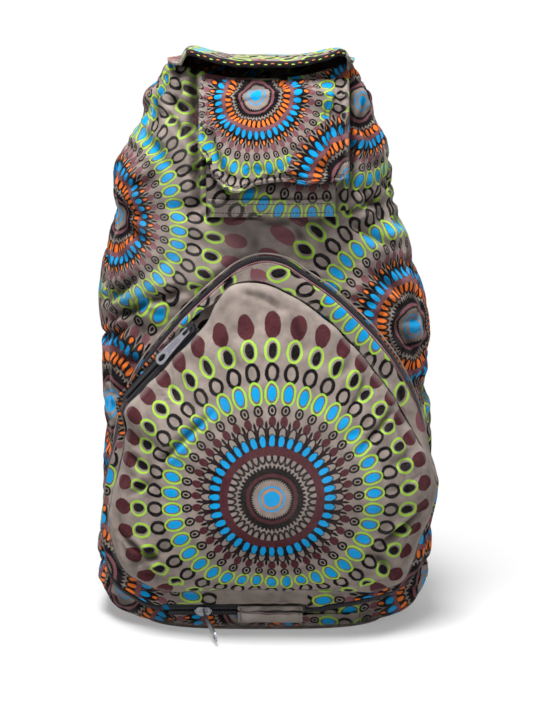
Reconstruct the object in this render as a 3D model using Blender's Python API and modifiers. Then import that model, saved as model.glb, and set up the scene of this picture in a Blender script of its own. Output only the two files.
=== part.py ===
"""A cotton rucksack, stuffed and standing on its base, built in metres.

X is to the right of someone who looks at the front, Y runs from the front to the back and Z is up.
The origin is on the floor, under the middle of the bag.
"""

import math

import bmesh
import bpy
import numpy as np
from mathutils import Matrix, Vector

# Cloth and seams
CLOTH = 0.0024
SEAT = 0.0003
SEAM = 0.0009

# Body of the bag: the heights of its edges, and the reach of its walls at each height
BASE_THICKNESS = 0.0030
MOUTH_BACK = 0.4605
MOUTH_FRONT = MOUTH_BACK - 0.0115
LEFT_REACH = [
    (0.000, 0.105), (0.008, 0.125), (0.022, 0.137), (0.050, 0.140), (0.092, 0.138), (0.134, 0.136),
    (0.226, 0.135), (0.297, 0.1345), (0.317, 0.130), (0.337, 0.1262), (0.357, 0.127), (0.377, 0.123),
    (0.396, 0.111), (0.416, 0.101), (0.436, 0.096), (0.450, 0.088), (0.461, 0.080),
]
RIGHT_REACH = [
    (0.000, 0.100), (0.008, 0.118), (0.022, 0.131), (0.050, 0.137), (0.092, 0.138), (0.134, 0.138),
    (0.196, 0.133), (0.257, 0.132), (0.277, 0.127), (0.297, 0.120), (0.317, 0.1145), (0.337, 0.105),
    (0.357, 0.1005), (0.377, 0.1015), (0.396, 0.099), (0.416, 0.0915), (0.436, 0.085), (0.450, 0.0775),
    (0.461, 0.0710),
]
FRONT_REACH = [
    (0.000, 0.0660), (0.012, 0.0685), (0.100, 0.0700), (0.310, 0.0700), (0.360, 0.0660), (0.410, 0.0580),
    (0.450, 0.0490), (0.461, 0.0460),
]
BACK_REACH = [
    (0.000, 0.062), (0.020, 0.071), (0.060, 0.076), (0.200, 0.078), (0.300, 0.072), (0.380, 0.061),
    (0.440, 0.049), (0.461, 0.044),
]
SQUARENESS_LOW = 3.2
SQUARENESS_HIGH = 2.6
SQUARE_UP_TO = 0.1000
ROUND_FROM = 0.3000
FRONT_SEAM_ANGLE = 20.0
BACK_SEAM_ANGLE = 40.0
ROW_SHARES = (
    0, 0.012, 0.032, 0.068, 0.13, 0.20, 0.28, 0.37, 0.46, 0.55, 0.625, 0.69, 0.75, 0.81, 0.87, 0.93, 1,
)
FACING_STEP = 0.0008
WIDEST_SHARE = 0.98

# Lid over the mouth
LID_FRONT = 0.0580
LID_THICKNESS = 0.0032
LID_SQUARENESS = 4.0
LID_INSET = 0.0006
LID_DROP = 0.0024
LID_SAG = 0.0014
LID_LIFT = 0.0090
LID_LIFT_PLACE = 0.0560
LID_LIFT_WIDTH = 0.0120
LID_LIFT_BACK = 0.0450
LID_LIFT_RUN = 0.0500
VISOR_START = 0.0150
VISOR_RUN = 0.0350

# Small pocket under its flap
SMALL_POCKET_LEFT = -0.0480
SMALL_POCKET_RIGHT = 0.0545
SMALL_POCKET_BOTTOM = 0.3405
SMALL_POCKET_TOP = 0.4340
SMALL_POCKET_DEPTH = 0.0170
SMALL_POCKET_FULL_AT = 0.22
SMALL_POCKET_TAPER = 0.45
POCKET_BAND_HEIGHT = 0.0150
POCKET_BAND_SIDE = 0.0040
POCKET_BAND_RISE = 0.0015
POCKET_BAND_STAND = 0.0008
BAND_THICKNESS = 0.0012
FLAP_LEFT = -0.0535
FLAP_RIGHT = 0.0655
FLAP_BOTTOM = 0.3530
FLAP_TOP = MOUTH_FRONT - 0.0010
FLAP_CORNER = 0.0200
FLAP_CORNER_SHARE = 0.75
FLAP_CURL = 0.0080
FLAP_CURL_END = 0.75
FLAP_LIFT_SHARE = 0.55
FLAP_SEWN = 0.0090

# Front pocket: the middle of its dome, its edge, and the zip round its gusset
DOME_CENTRE = (0.0041, 0.1261)
DOME_REACH = 0.1220
DOME_SHOULDER = 2.3
DOME_SHOULDER_TOP = 0.6
DOME_FALL = 0.75
SIDE_ZIP_TOP = Vector((-0.0563, -0.0790, 0.2556))
SIDE_ZIP_BOTTOM = Vector((-0.1136, -0.0660, 0.1922))
SIDE_ZIP_FACES = Vector((-0.42, -0.82, 0.38))
SIDE_ZIP_SHARES = (-0.07, 0.2, 0.5, 0.8, 1.07)
SIDE_ZIP_MARGIN = 0.0006
LOWER_ZIP_HEIGHT = 0.0190
LOWER_ZIP_REACH = 0.0735
LOWER_ZIP_LEFT = -0.0800
LOWER_ZIP_RIGHT = 0.0300
LOWER_ZIP_TILT = math.radians(20.5)
POCKET_EDGE = [
    (-0.0032, -0.0800, 0.2894), (-0.0261, -0.0800, 0.2880), (-0.0400, -0.0800, 0.2740), "side zip",
    (-0.1145, -0.0625, 0.1640), (-0.1210, -0.0580, 0.1330), (-0.1285, -0.0555, 0.1040),
    (-0.1290, -0.0590, 0.0780), (-0.1185, -0.0660, 0.0530), (-0.1010, -0.0720, 0.0400),
    (-0.0731, -0.0800, 0.0355), (-0.0323, -0.0860, 0.0385), (0.0275, -0.0860, 0.0385),
    (0.0700, -0.0800, 0.0355), (0.0988, -0.0740, 0.0360), (0.1150, -0.0670, 0.0440),
    (0.1240, -0.0620, 0.0670), (0.1345, -0.0560, 0.0940), (0.1400, -0.0560, 0.1160),
    (0.1330, -0.0590, 0.1400), (0.1180, -0.0640, 0.1680), (0.1020, -0.0690, 0.1961),
    (0.0831, -0.0730, 0.2214), (0.0629, -0.0760, 0.2455), (0.0404, -0.0790, 0.2661),
    (0.0182, -0.0800, 0.2800),
]
ZIP_PATH = [
    (-0.0032, 0.3080), (-0.0206, 0.3024), (-0.0366, 0.2904), (-0.0526, 0.2758), (-0.0687, 0.2593),
    (-0.0851, 0.2390), (-0.0976, 0.2219), (-0.1078, 0.2022), (-0.1157, 0.1806), (-0.1221, 0.1545),
    (-0.1290, 0.1270), (-0.1320, 0.0970), (-0.1325, 0.0650), (-0.1260, 0.0400), (-0.1090, 0.0275),
    (LOWER_ZIP_LEFT, LOWER_ZIP_HEIGHT), (LOWER_ZIP_RIGHT, LOWER_ZIP_HEIGHT), (0.0523, 0.0215),
    (0.0861, 0.0270), (0.1105, 0.0360), (0.1260, 0.0530), (0.1315, 0.0790), (0.1325, 0.1080),
    (0.1315, 0.1353), (0.1275, 0.1628), (0.1196, 0.1889), (0.1110, 0.2079), (0.1000, 0.2276),
    (0.0851, 0.2471), (0.0671, 0.2658), (0.0509, 0.2806), (0.0310, 0.2944), (0.0151, 0.3048),
]
ZIP_LIFT_UNDER = 0.0600
ZIP_LIFT_RUN = 0.0350
ZIP_LIFT = 0.0025
LOWER_ZIP_FIND = 0.0030
GUSSET_BULGE = 0.0055
GUSSET_BULGE_MOST = 0.0080
GUSSET_USUAL_WIDTH = 0.0300
GUSSET_LIFT = 0.0012
GUSSET_LEAN = 0.15
GUSSET_BASE_LEFT = 0.0080
GUSSET_BASE_RIGHT = 0.0040
GUSSET_BASE_UNDER = 0.0300
BASE_STRIP_HALF_LENGTH = 0.0760
STRIP_THICKNESS = 0.0016

# Zips
CHAIN_WIDTH = 0.0046
CHAIN_THICKNESS = 0.0018
CHAIN_STAND = 0.0020
CHAIN_GAP = 0.0011
TOOTH_PITCH = 0.0020
TOOTH_DEPTH = 0.0008
ROOT_BOW = 0.0002
TAPE_REACH = 0.0046
TAPE_THICKNESS = 0.0012
ZIP_MOUTH = 0.0052
PIPING_RADIUS = 0.0007
DIRECTION_STEP = 0.01
CHAIN_OVERRUN_LEFT = 0.0040
CHAIN_OVERRUN_RIGHT = 0.0010

# Sliders and their pull tabs
SLIDER_LENGTH = 0.0110
SLIDER_HALF_WIDTH = 0.0042
SLIDER_PLATE = 0.0011
SLIDER_CHANNEL = 0.0013
SLIDER_CORNER = 0.0022
SLIDER_OVERLAP = 0.0003
FLANGE_LENGTH = 0.0060
FLANGE_PLACE = 0.0010
FLANGE_INSET = 0.0001
FLANGE_WIDTH = 0.0009
FLANGE_GAP = 0.0009
NECK_LENGTH = 0.0030
NECK_HALF_WIDTH = 0.0007
CROWN_WIRE = 0.00055
CROWN_HALF_LENGTH = 0.0032
CROWN_CLEARANCE = 0.0006
PULL_CLEARANCE = 0.0005
PULL_LENGTH = 0.0375
PULL_THICKNESS = 0.0010
PULL_BAR = 0.0007
PULL_BAR_TAPER = 0.0006
PULL_WAIST = 0.0075
PULL_HOLE_RIM = 0.0022
PULL_WINDOW_LENGTH = 0.0050
PULL_WINDOW_HALF_WIDTH = 0.0015
PULL_NEAR_HALF_WIDTH = 0.0029
PULL_FAR_HALF_WIDTH = 0.0050
PULL_HOLE_LENGTH = 0.0078
PULL_HOLE_WIDTH = 0.0046
SIDE_SLIDER_INSET = 0.0065
LOWER_SLIDER_PLACE = -0.0515
LOWER_PULL_TURN = math.radians(72)

# Patch that covers the ends of the outer zip
PATCH_LEFT = -0.0236
PATCH_RIGHT = 0.0294
PATCH_THICKNESS = 0.0012
PATCH_SLOT = 0.0016
PATCH_DROP = 0.0110
PATCH_CORNER = 0.0012
CHAIN_CORNER = 0.0004

# Harness on the back
STRAP_THICKNESS = 0.0090
STRAP_HALF_WIDTHS = [(0, 0.024), (0.1, 0.027), (0.5, 0.029), (0.85, 0.024), (1.0, 0.0145)]
STRAP_EDGE_SAG = 0.0030
STRAP_ROLLED_EDGE = 0.0030
STRAP_LEAN = 0.0300
STRAP_TOP = MOUTH_BACK - 0.0285
STRAP_END = 0.1650
STRAP_TOP_OFFSET = 0.0400
STRAP_END_OFFSET = 0.0780
STRAP_BULGE = 0.0340
STRAP_BOW = [(0, 0), (0.12, 0.45), (0.30, 0.92), (0.45, 1.0), (0.70, 0.95), (0.90, 0.80), (1.0, 0.78)]
WEBBING_WIDTH = 0.0250
WEBBING_THICKNESS = 0.0012
LOCK_WIDTH = 0.0340
LOCK_HEIGHT = 0.0240
LOCK_THICKNESS = 0.0030
LOCK_BAR = 0.0030
LOCK_CORNER = 0.0030
LOCK_SLOT_PLAY = 0.0010
LOCK_SLOT_CORNER = 0.0010
LOCK_PLACE = 0.1330
WEBBING_TAIL = 0.0500
WEBBING_TAIL_STAND = 0.0020
WEBBING_SEWN = 0.0100
WEBBING_LEAVES = 0.0040
WEBBING_BEND_SHARE = 0.35
WEBBING_BEND_HEIGHT = 0.0250
WEBBING_TURNS_IN = 0.0040
ANCHOR_HEIGHT = 0.0520
ANCHOR_SIZE = 0.0320
ANCHOR_SHOULDER = 0.20
ANCHOR_TIP = 0.45
ANCHOR_DROP = 0.0060
HAUL_LOOP_HALF_SPAN = 0.0240
HAUL_LOOP_REACH = 0.0280
HAUL_LOOP_HEIGHT = MOUTH_BACK - 0.0160
HAUL_LOOP_WIDTH = 0.0200

for old in list(bpy.data.objects):
    bpy.data.objects.remove(old)

parts = bpy.data.collections.new("rucksack")
cutters = bpy.data.collections.new("cutters")
bpy.context.scene.collection.children.link(parts)
bpy.context.scene.collection.children.link(cutters)


# Materials
def material(name, colour, roughness, metallic=0.0):
    made = bpy.data.materials.new(name)
    made.use_nodes = True
    shader = made.node_tree.nodes["Principled BSDF"]
    shader.inputs["Base Color"].default_value = (*colour, 1.0)
    shader.inputs["Roughness"].default_value = roughness
    shader.inputs["Metallic"].default_value = metallic
    return made


PRINTED_COTTON = material("printed stonewashed cotton", (0.27, 0.24, 0.21), 0.9)
WASHED_COTTON = material("plain stonewashed cotton", (0.33, 0.29, 0.27), 0.9)
ROSE_PIPING = material("faded rose cotton", (0.30, 0.17, 0.18), 0.9)
NYLON_COIL = material("black nylon coil and tape", (0.02, 0.02, 0.02), 0.5)
GUNMETAL = material("gunmetal plated zinc", (0.16, 0.16, 0.17), 0.35, 1.0)
NICKEL = material("nickel plated zinc", (0.55, 0.55, 0.57), 0.3, 1.0)
WEBBING = material("black cotton webbing", (0.03, 0.03, 0.03), 0.85)
ACETAL = material("black acetal", (0.02, 0.02, 0.02), 0.4)


# Curves through chosen points
def smooth(knots, x):
    """The height at x of a smooth curve through (x, height) knots."""
    xs, ys = np.array(knots, dtype=float).T
    slopes = np.gradient(ys, xs)
    at = np.clip(np.asarray(x, dtype=float), xs[0], xs[-1])
    i = np.clip(np.searchsorted(xs, at) - 1, 0, len(xs) - 2)
    span = xs[i + 1] - xs[i]
    t = (at - xs[i]) / span
    rise = (3 - 2 * t) * t * t
    ends = (1 - rise) * ys[i] + rise * ys[i + 1]
    return ends + span * t * (1 - t) * ((1 - t) * slopes[i] - t * slopes[i + 1])


def closed_curve(knots, steps=10):
    """Points of a smooth closed curve through the knots."""
    corners = np.array(knots, dtype=float)
    before, after, beyond = (np.roll(corners, shift, axis=0) for shift in (1, -1, -2))
    points = []
    for t in np.arange(steps) / steps:
        straight = (1 - t) * corners + t * after
        bend = t * (1 - t) / 2
        leaving = (1 - t) * (2 * corners - before - after)
        arriving = t * (2 * after - corners - beyond)
        points.append(straight + bend * (leaving + arriving))
    return np.stack(points, axis=1).reshape(-1, corners.shape[1])


def by_angle(points, angle, centre=DOME_CENTRE):
    """The points of a closed curve in the directions angle, seen from the front round the centre."""
    turns = np.arctan2(points[:, -1] - centre[1], points[:, 0] - centre[0]) % (2 * math.pi)
    order = np.argsort(turns)
    wanted = np.asarray(angle) % (2 * math.pi)
    columns = [np.interp(wanted, turns[order], column[order], period=2 * math.pi) for column in points.T]
    return np.stack(columns, axis=-1)


# Shape of the stuffed body
def squareness(z):
    share = np.clip((np.asarray(z) - SQUARE_UP_TO) / (ROUND_FROM - SQUARE_UP_TO), 0, 1)
    return SQUARENESS_LOW + (SQUARENESS_HIGH - SQUARENESS_LOW) * share


def body_point(angle, z, inset=0.0):
    """A point of the body's outside, at an angle in degrees from +X towards the back, and a height."""
    left, right = smooth(LEFT_REACH, z) - inset, smooth(RIGHT_REACH, z) - inset
    front, back = smooth(FRONT_REACH, z) - inset, smooth(BACK_REACH, z) - inset
    turn = np.radians(angle)
    power = 2 / squareness(z)
    across = np.sign(np.cos(turn)) * np.abs(np.cos(turn)) ** power
    along = np.sign(np.sin(turn)) * np.abs(np.sin(turn)) ** power
    x = (right - left) / 2 + (right + left) / 2 * across
    y = (back - front) / 2 + (back + front) / 2 * along
    return np.stack([x, y, np.broadcast_to(z, x.shape)], axis=-1)


def body_depth(x, z, side):
    """The y of the body's outside at x and z: side is -1 at the front and 1 at the back."""
    left, right = smooth(LEFT_REACH, z), smooth(RIGHT_REACH, z)
    front, back = smooth(FRONT_REACH, z), smooth(BACK_REACH, z)
    share = np.clip(np.abs((x - (right - left) / 2) / ((right + left) / 2)), 0, WIDEST_SHARE)
    swell = (1 - share ** squareness(z)) ** (1 / squareness(z))
    return (back - front) / 2 + side * (back + front) / 2 * swell


def front_facing(x, z):
    """The outward direction of the body's front at x and z."""
    step = FACING_STEP
    across = (body_depth(x + step, z, -1) - body_depth(x - step, z, -1)) / (2 * step)
    rising = (body_depth(x, z + step, -1) - body_depth(x, z - step, -1)) / (2 * step)
    out = np.stack([across, np.full(np.shape(x), -1.0), rising], axis=-1)
    return out / np.linalg.norm(out, axis=-1)[..., None]


def mouth_height(angle):
    """The height of the body's top edge: it dips at the front, under the lid."""
    dip = np.clip(-np.sin(np.radians(angle)), 0, 1) ** 4
    return MOUTH_BACK - (MOUTH_BACK - MOUTH_FRONT) * dip


# Building pieces
def finish(piece, name, finish_material, smooth_shaded=True):
    piece.name = name
    piece.data.name = name
    piece.data.materials.clear()
    piece.data.materials.append(finish_material)
    for collection in list(piece.users_collection):
        collection.objects.unlink(piece)
    parts.objects.link(piece)
    if smooth_shaded and piece.type == "MESH":
        piece.data.shade_smooth()
        piece.data.set_sharp_from_angle(angle=math.radians(40))
    return piece


def patch(name, across, along, place, thickness, finish_material, offset=-1.0):
    """A sheet of cloth: a grid whose vertices go to place(u, v), for u and v from 0 to 1."""
    bpy.ops.mesh.primitive_grid_add(x_subdivisions=across, y_subdivisions=along, size=1)
    piece = bpy.context.object
    spots = np.array([vertex.co[:2] for vertex in piece.data.vertices]) + 0.5
    placed = place(spots[:, 0], spots[:, 1])
    for vertex, point in zip(piece.data.vertices, placed):
        vertex.co = point
    solid = piece.modifiers.new("cloth", "SOLIDIFY")
    solid.thickness = thickness
    solid.offset = offset
    return finish(piece, name, finish_material)


def panel(name, across, along, place, finish_material):
    """A wall whose outside and inside are place(u, v, 0) and place(u, v, CLOTH): a grid, extruded."""
    bpy.ops.mesh.primitive_grid_add(x_subdivisions=across, y_subdivisions=along, size=1)
    piece = bpy.context.object
    wall = bmesh.new()
    wall.from_mesh(piece.data)
    outer = list(wall.verts)
    spots = np.array([vertex.co[:2] for vertex in outer]) + 0.5
    extruded = bmesh.ops.extrude_face_region(wall, geom=wall.faces, use_keep_orig=True)
    inner = [item for item in extruded["geom"] if isinstance(item, bmesh.types.BMVert)]
    inner_spots = np.array([vertex.co[:2] for vertex in inner]) + 0.5
    for vertex, point in zip(inner, place(inner_spots[:, 0], inner_spots[:, 1], 0.0)):
        vertex.co = point
    for vertex, point in zip(outer, place(spots[:, 0], spots[:, 1], CLOTH)):
        vertex.co = point
    bmesh.ops.recalc_face_normals(wall, faces=wall.faces)
    wall.to_mesh(piece.data)
    wall.free()
    return finish(piece, name, finish_material)


def outline_piece(name, outlines, thickness, finish_material, frame=Matrix()):
    """A flat piece with the outer outline first and its holes after it, in its own XY plane."""
    flat = bpy.data.curves.new(name, "CURVE")
    flat.dimensions = "2D"
    flat.fill_mode = "BOTH"
    flat.extrude = thickness / 2
    for outline in outlines:
        spline = flat.splines.new("POLY")
        spline.points.add(len(outline) - 1)
        for point, (x, y) in zip(spline.points, outline):
            point.co = (x, y, 0, 1)
        spline.use_cyclic_u = True
    drawn = bpy.data.objects.new(name, flat)
    parts.objects.link(drawn)
    bpy.context.view_layer.update()
    mesh = bpy.data.meshes.new_from_object(drawn.evaluated_get(bpy.context.evaluated_depsgraph_get()))
    welded = bmesh.new()
    welded.from_mesh(mesh)
    bmesh.ops.remove_doubles(welded, verts=welded.verts, dist=1e-6)
    welded.to_mesh(mesh)
    welded.free()
    bpy.data.objects.remove(drawn)
    piece = bpy.data.objects.new(name, mesh)
    parts.objects.link(piece)
    piece.matrix_world = frame
    return finish(piece, name, finish_material, smooth_shaded=False)


def box(size, centre, frame=Matrix()):
    """A box, kept with the cutters, at a place in the frame."""
    bpy.ops.mesh.primitive_cube_add(size=1)
    made = bpy.context.object
    made.matrix_world = frame @ Matrix.LocRotScale(Vector(centre), None, Vector(size))
    return to_cutters(made)


def to_cutters(tool):
    for collection in list(tool.users_collection):
        collection.objects.unlink(tool)
    cutters.objects.link(tool)
    tool.hide_render = True
    tool.display_type = "WIRE"
    return tool


def wire(name, points, radius, cyclic=False, frame=Matrix(), sides=2):
    """A round wire along the points, as a closed mesh."""
    path = bpy.data.curves.new(name, "CURVE")
    path.dimensions = "3D"
    path.bevel_depth = radius
    path.bevel_resolution = sides
    path.use_fill_caps = not cyclic
    spline = path.splines.new("POLY")
    spline.points.add(len(points) - 1)
    for point, place in zip(spline.points, points):
        point.co = (*place, 1)
    spline.use_cyclic_u = cyclic
    drawn = bpy.data.objects.new(name, path)
    parts.objects.link(drawn)
    bpy.context.view_layer.update()
    mesh = bpy.data.meshes.new_from_object(drawn.evaluated_get(bpy.context.evaluated_depsgraph_get()))
    welded = bmesh.new()
    welded.from_mesh(mesh)
    bmesh.ops.remove_doubles(welded, verts=welded.verts, dist=1e-6)
    welded.to_mesh(mesh)
    welded.free()
    bpy.data.objects.remove(drawn)
    piece = bpy.data.objects.new(name, mesh)
    parts.objects.link(piece)
    piece.matrix_world = frame
    return piece


def unite(piece, tools):
    """Joins the tools to the piece with Boolean unions."""
    for tool in tools:
        union = piece.modifiers.new("union", "BOOLEAN")
        union.operation = "UNION"
        union.object = to_cutters(tool)
    return piece


def rounded(half_length, half_width, radius, steps=4):
    """A rectangle with round corners, centred on the origin."""
    points = []
    for quarter, (sx, sy) in enumerate([(1, 1), (-1, 1), (-1, -1), (1, -1)]):
        for step in range(steps + 1):
            turn = math.radians(90 * quarter + 90 * step / steps)
            points.append((sx * (half_length - radius) + radius * math.cos(turn),
                           sy * (half_width - radius) + radius * math.sin(turn)))
    return points


# Body
def body_panel(name, first, last, across):
    """A panel of the body between two seams, given as angles."""
    low = BASE_THICKNESS + SEAT
    gap = math.degrees(SEAM / 2 / BACK_REACH[0][1])

    def place(u, v, inset):
        angle = first + gap + u * (last - first - 2 * gap)
        rise = np.interp(v, np.linspace(0, 1, len(ROW_SHARES)), ROW_SHARES)
        return body_point(angle, low + rise * (mouth_height(angle) - low), inset)

    return panel(name, across, len(ROW_SHARES) - 1, place, PRINTED_COTTON)


def base_panel():
    angles = np.arange(0, 360, 9)
    outline = [(x, y) for x, y, _ in body_point(angles, np.zeros(len(angles)))]
    lift = Matrix.Translation((0, 0, BASE_THICKNESS / 2))
    outline_piece("base_panel", [outline], BASE_THICKNESS, PRINTED_COTTON, lift)


def body():
    base_panel()
    body_panel("front_panel", 180 + FRONT_SEAM_ANGLE, 360 - FRONT_SEAM_ANGLE, 16)
    body_panel("side_panel_right", -FRONT_SEAM_ANGLE, BACK_SEAM_ANGLE, 5)
    body_panel("side_panel_left", 180 - BACK_SEAM_ANGLE, 180 + FRONT_SEAM_ANGLE, 5)
    body_panel("back_panel", BACK_SEAM_ANGLE, 180 - BACK_SEAM_ANGLE, 9)


# Lid
def lid_edge(angle):
    """The lid's outline: it rests on the body's top edge, and is squarer and reaches further at the front."""
    left = smooth(LEFT_REACH, MOUTH_BACK) - LID_INSET
    right = smooth(RIGHT_REACH, MOUTH_BACK) - LID_INSET
    back = smooth(BACK_REACH, MOUTH_BACK) - LID_INSET
    front = np.sin(angle) < 0
    power = 2 / np.where(front, LID_SQUARENESS, SQUARENESS_HIGH)
    across = np.sign(np.cos(angle)) * np.abs(np.cos(angle)) ** power
    along = np.sign(np.sin(angle)) * np.abs(np.sin(angle)) ** power
    return (right - left) / 2 + (right + left) / 2 * across, np.where(front, LID_FRONT, back) * along


def lid_height(x, y, share):
    """The height of the lid's underside: its front droops over the mouth, and its two ends stand up."""
    visor = np.clip((-y - VISOR_START) / VISOR_RUN, 0, 1)
    lift = LID_LIFT * np.exp(-((np.abs(x) - LID_LIFT_PLACE) / LID_LIFT_WIDTH) ** 2)
    lift *= np.clip((LID_LIFT_BACK - y) / LID_LIFT_RUN, 0, 1) * (1 - share ** 8 * (1 - visor))
    return MOUTH_BACK + SEAT + LID_SAG * (1 - share ** 2) - LID_DROP * visor + lift


def top_lid():
    def place(u, v):
        share, angle = disc(u, v)
        edge_x, edge_y = lid_edge(angle)
        x, y = share * edge_x, share * edge_y
        return np.stack([x, y, lid_height(x, y, share)], axis=-1)

    patch("top_lid", 12, 12, place, LID_THICKNESS, PRINTED_COTTON, offset=1.0)


# Small pocket, its hem band and its flap
def pocket_swell(x, z):
    """How far the small pocket stands in front of the body."""
    middle = (SMALL_POCKET_LEFT + SMALL_POCKET_RIGHT) / 2
    half = (SMALL_POCKET_RIGHT - SMALL_POCKET_LEFT) / 2
    side = np.clip(1 - np.abs((x - middle) / half) ** 6, 0, 1) ** 0.5
    height = np.clip((z - SMALL_POCKET_BOTTOM) / (SMALL_POCKET_TOP - SMALL_POCKET_BOTTOM), 0, 1)
    fill = np.clip(height / SMALL_POCKET_FULL_AT, 0, 1) ** 0.6 * (1 - SMALL_POCKET_TAPER * height)
    return SMALL_POCKET_DEPTH * side * fill


def pocket_face(x, z, stand):
    """A point in front of the body, on the small pocket's face where there is one."""
    y = body_depth(x, z, -1) - pocket_swell(x, z) - stand
    return np.stack([x, y, np.broadcast_to(z, np.shape(x))], axis=-1)


def small_pocket():
    def place(u, v):
        x = SMALL_POCKET_LEFT + u * (SMALL_POCKET_RIGHT - SMALL_POCKET_LEFT)
        z = SMALL_POCKET_BOTTOM + v * (SMALL_POCKET_TOP - SMALL_POCKET_BOTTOM)
        return pocket_face(x, z, CLOTH + 2 * SEAT)

    patch("small_pocket", 14, 9, place, CLOTH, PRINTED_COTTON)

    def band_place(u, v):
        x = SMALL_POCKET_LEFT + u * (SMALL_POCKET_RIGHT - SMALL_POCKET_LEFT) + POCKET_BAND_SIDE * (1 - 2 * u)
        z = SMALL_POCKET_BOTTOM + POCKET_BAND_RISE + v * POCKET_BAND_HEIGHT
        return pocket_face(x, z, CLOTH + 4 * SEAT + BAND_THICKNESS + POCKET_BAND_STAND)

    patch("small_pocket_band", 14, 2, band_place, BAND_THICKNESS, PRINTED_COTTON)


def pocket_flap():
    """The flap hangs from the mouth's hem over the small pocket, with round lower corners."""
    stand = 2 * CLOTH + BAND_THICKNESS + 6 * SEAT
    sewn = CLOTH + 2 * SEAT

    def place(u, v):
        z = FLAP_BOTTOM + v * (FLAP_TOP - FLAP_BOTTOM)
        low = np.clip((FLAP_BOTTOM + FLAP_CORNER - z) / FLAP_CORNER, 0, 1)
        inset = FLAP_CORNER * (1 - np.sqrt(1 - low ** 2)) * FLAP_CORNER_SHARE
        left, right = FLAP_LEFT + inset, FLAP_RIGHT - inset
        x = left + u * (right - left)
        middle = (FLAP_LEFT + FLAP_RIGHT) / 2
        half = (FLAP_RIGHT - FLAP_LEFT) / 2
        hang = np.clip(1 - v, 0, FLAP_CURL_END) / FLAP_CURL_END
        curl = FLAP_CURL * (1 - np.abs((x - middle) / half) ** 3) * np.sin(math.pi / 2 * hang)
        lifted = np.maximum(pocket_swell(x, z), FLAP_LIFT_SHARE * SMALL_POCKET_DEPTH * (1 - v) ** 0.5)
        free = np.clip((FLAP_TOP - z) / FLAP_SEWN, 0, 1)
        y = body_depth(x, z, -1) - sewn - free * (lifted + stand - sewn) - curl
        return np.stack([x, y, z], axis=-1)

    patch("small_pocket_flap", 14, 9, place, CLOTH, PRINTED_COTTON)


# Front pocket: its edge, its zips' lines and its cloth
def side_zip_frame():
    """The side zip's own axes: X down along the chain, Z away from the bag, and origin at its top end."""
    run = (SIDE_ZIP_BOTTOM - SIDE_ZIP_TOP).normalized()
    face = (SIDE_ZIP_FACES - SIDE_ZIP_FACES.dot(run) * run).normalized()
    side = face.cross(run)
    return Matrix((run, side, face)).transposed().to_4x4(), run, side, face


SIDE_AXES, SIDE_RUN, SIDE_ACROSS, SIDE_FACE = side_zip_frame()
SIDE_ZIP_LENGTH = (SIDE_ZIP_BOTTOM - SIDE_ZIP_TOP).length
SIDE_ZIP_FRAME = Matrix.Translation(SIDE_ZIP_TOP) @ SIDE_AXES
LOWER_FACE = Vector((0, -math.cos(LOWER_ZIP_TILT), -math.sin(LOWER_ZIP_TILT)))
LOWER_AXES = Matrix((Vector((1, 0, 0)), LOWER_FACE.cross(Vector((1, 0, 0))), LOWER_FACE)).transposed().to_4x4()
LOWER_ZIP_FRAME = Matrix.Translation((0, -LOWER_ZIP_REACH, LOWER_ZIP_HEIGHT)) @ LOWER_AXES


def pocket_edge(side):
    """The closed edge of the front pocket's panel, or of its gusset if side is 1."""
    knots = []
    for knot in POCKET_EDGE:
        if knot != "side zip":
            knots.append(Vector(knot) + side * Vector((0, CLOTH + 4 * SEAT, 0)))
            continue
        reach = side * (ZIP_MOUTH + SIDE_ZIP_MARGIN) - (1 - side) * ZIP_MOUTH
        for share in SIDE_ZIP_SHARES:
            along = SIDE_ZIP_TOP.lerp(SIDE_ZIP_BOTTOM, share)
            knots.append(along - SIDE_ACROSS * reach * math.copysign(1, SIDE_ACROSS.x))
    return closed_curve(knots)


def zip_line(angle):
    """The middle of the outer zip, which lies on the body, and on a straight line along the base."""
    flat = by_angle(closed_curve(ZIP_PATH), angle)
    x, z = flat[:, 0], flat[:, 1]
    low = (np.abs(z - LOWER_ZIP_HEIGHT) < LOWER_ZIP_FIND) & (x > LOWER_ZIP_LEFT) & (x < LOWER_ZIP_RIGHT)
    z = np.where(low, LOWER_ZIP_HEIGHT, z)
    lift = CHAIN_STAND + np.clip((ZIP_LIFT_UNDER - z) / ZIP_LIFT_RUN, 0, 1) * ZIP_LIFT
    on_body = np.stack([x, body_depth(x, z, -1), z], axis=-1) + front_facing(x, z) * lift[:, None]
    straight = np.stack([x, np.full(len(x), -LOWER_ZIP_REACH), z], axis=-1)
    return np.where(low[:, None], straight, on_body)


def beside_zip(angle, aside, lift):
    """Points beside the outer zip's line: aside to the outside of its arch, and lift away from the bag."""
    line = zip_line(angle)
    ahead = zip_line(angle + DIRECTION_STEP) - zip_line(angle - DIRECTION_STEP)
    facing = front_facing(line[:, 0], line[:, 2])
    across = np.cross(ahead, facing)
    across /= np.linalg.norm(across, axis=1)[:, None]
    return line + across * np.reshape(aside, (-1, 1)) + facing * lift


def disc(u, v):
    """The polar place of a square grid's point on a disc: its share of the radius, and its angle."""
    a, b = 2 * u - 1, 2 * v - 1
    share = np.maximum(np.abs(a), np.abs(b))
    wide = np.abs(a) >= np.abs(b)
    ratio = np.where(wide, b, a) / np.where(share == 0, 1, np.where(wide, a, b))
    quarter = math.pi / 4 * ratio
    angle = np.where(wide, np.where(a >= 0, quarter, math.pi + quarter),
                     np.where(b >= 0, math.pi / 2 - quarter, -math.pi / 2 - quarter))
    return share, angle


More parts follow.
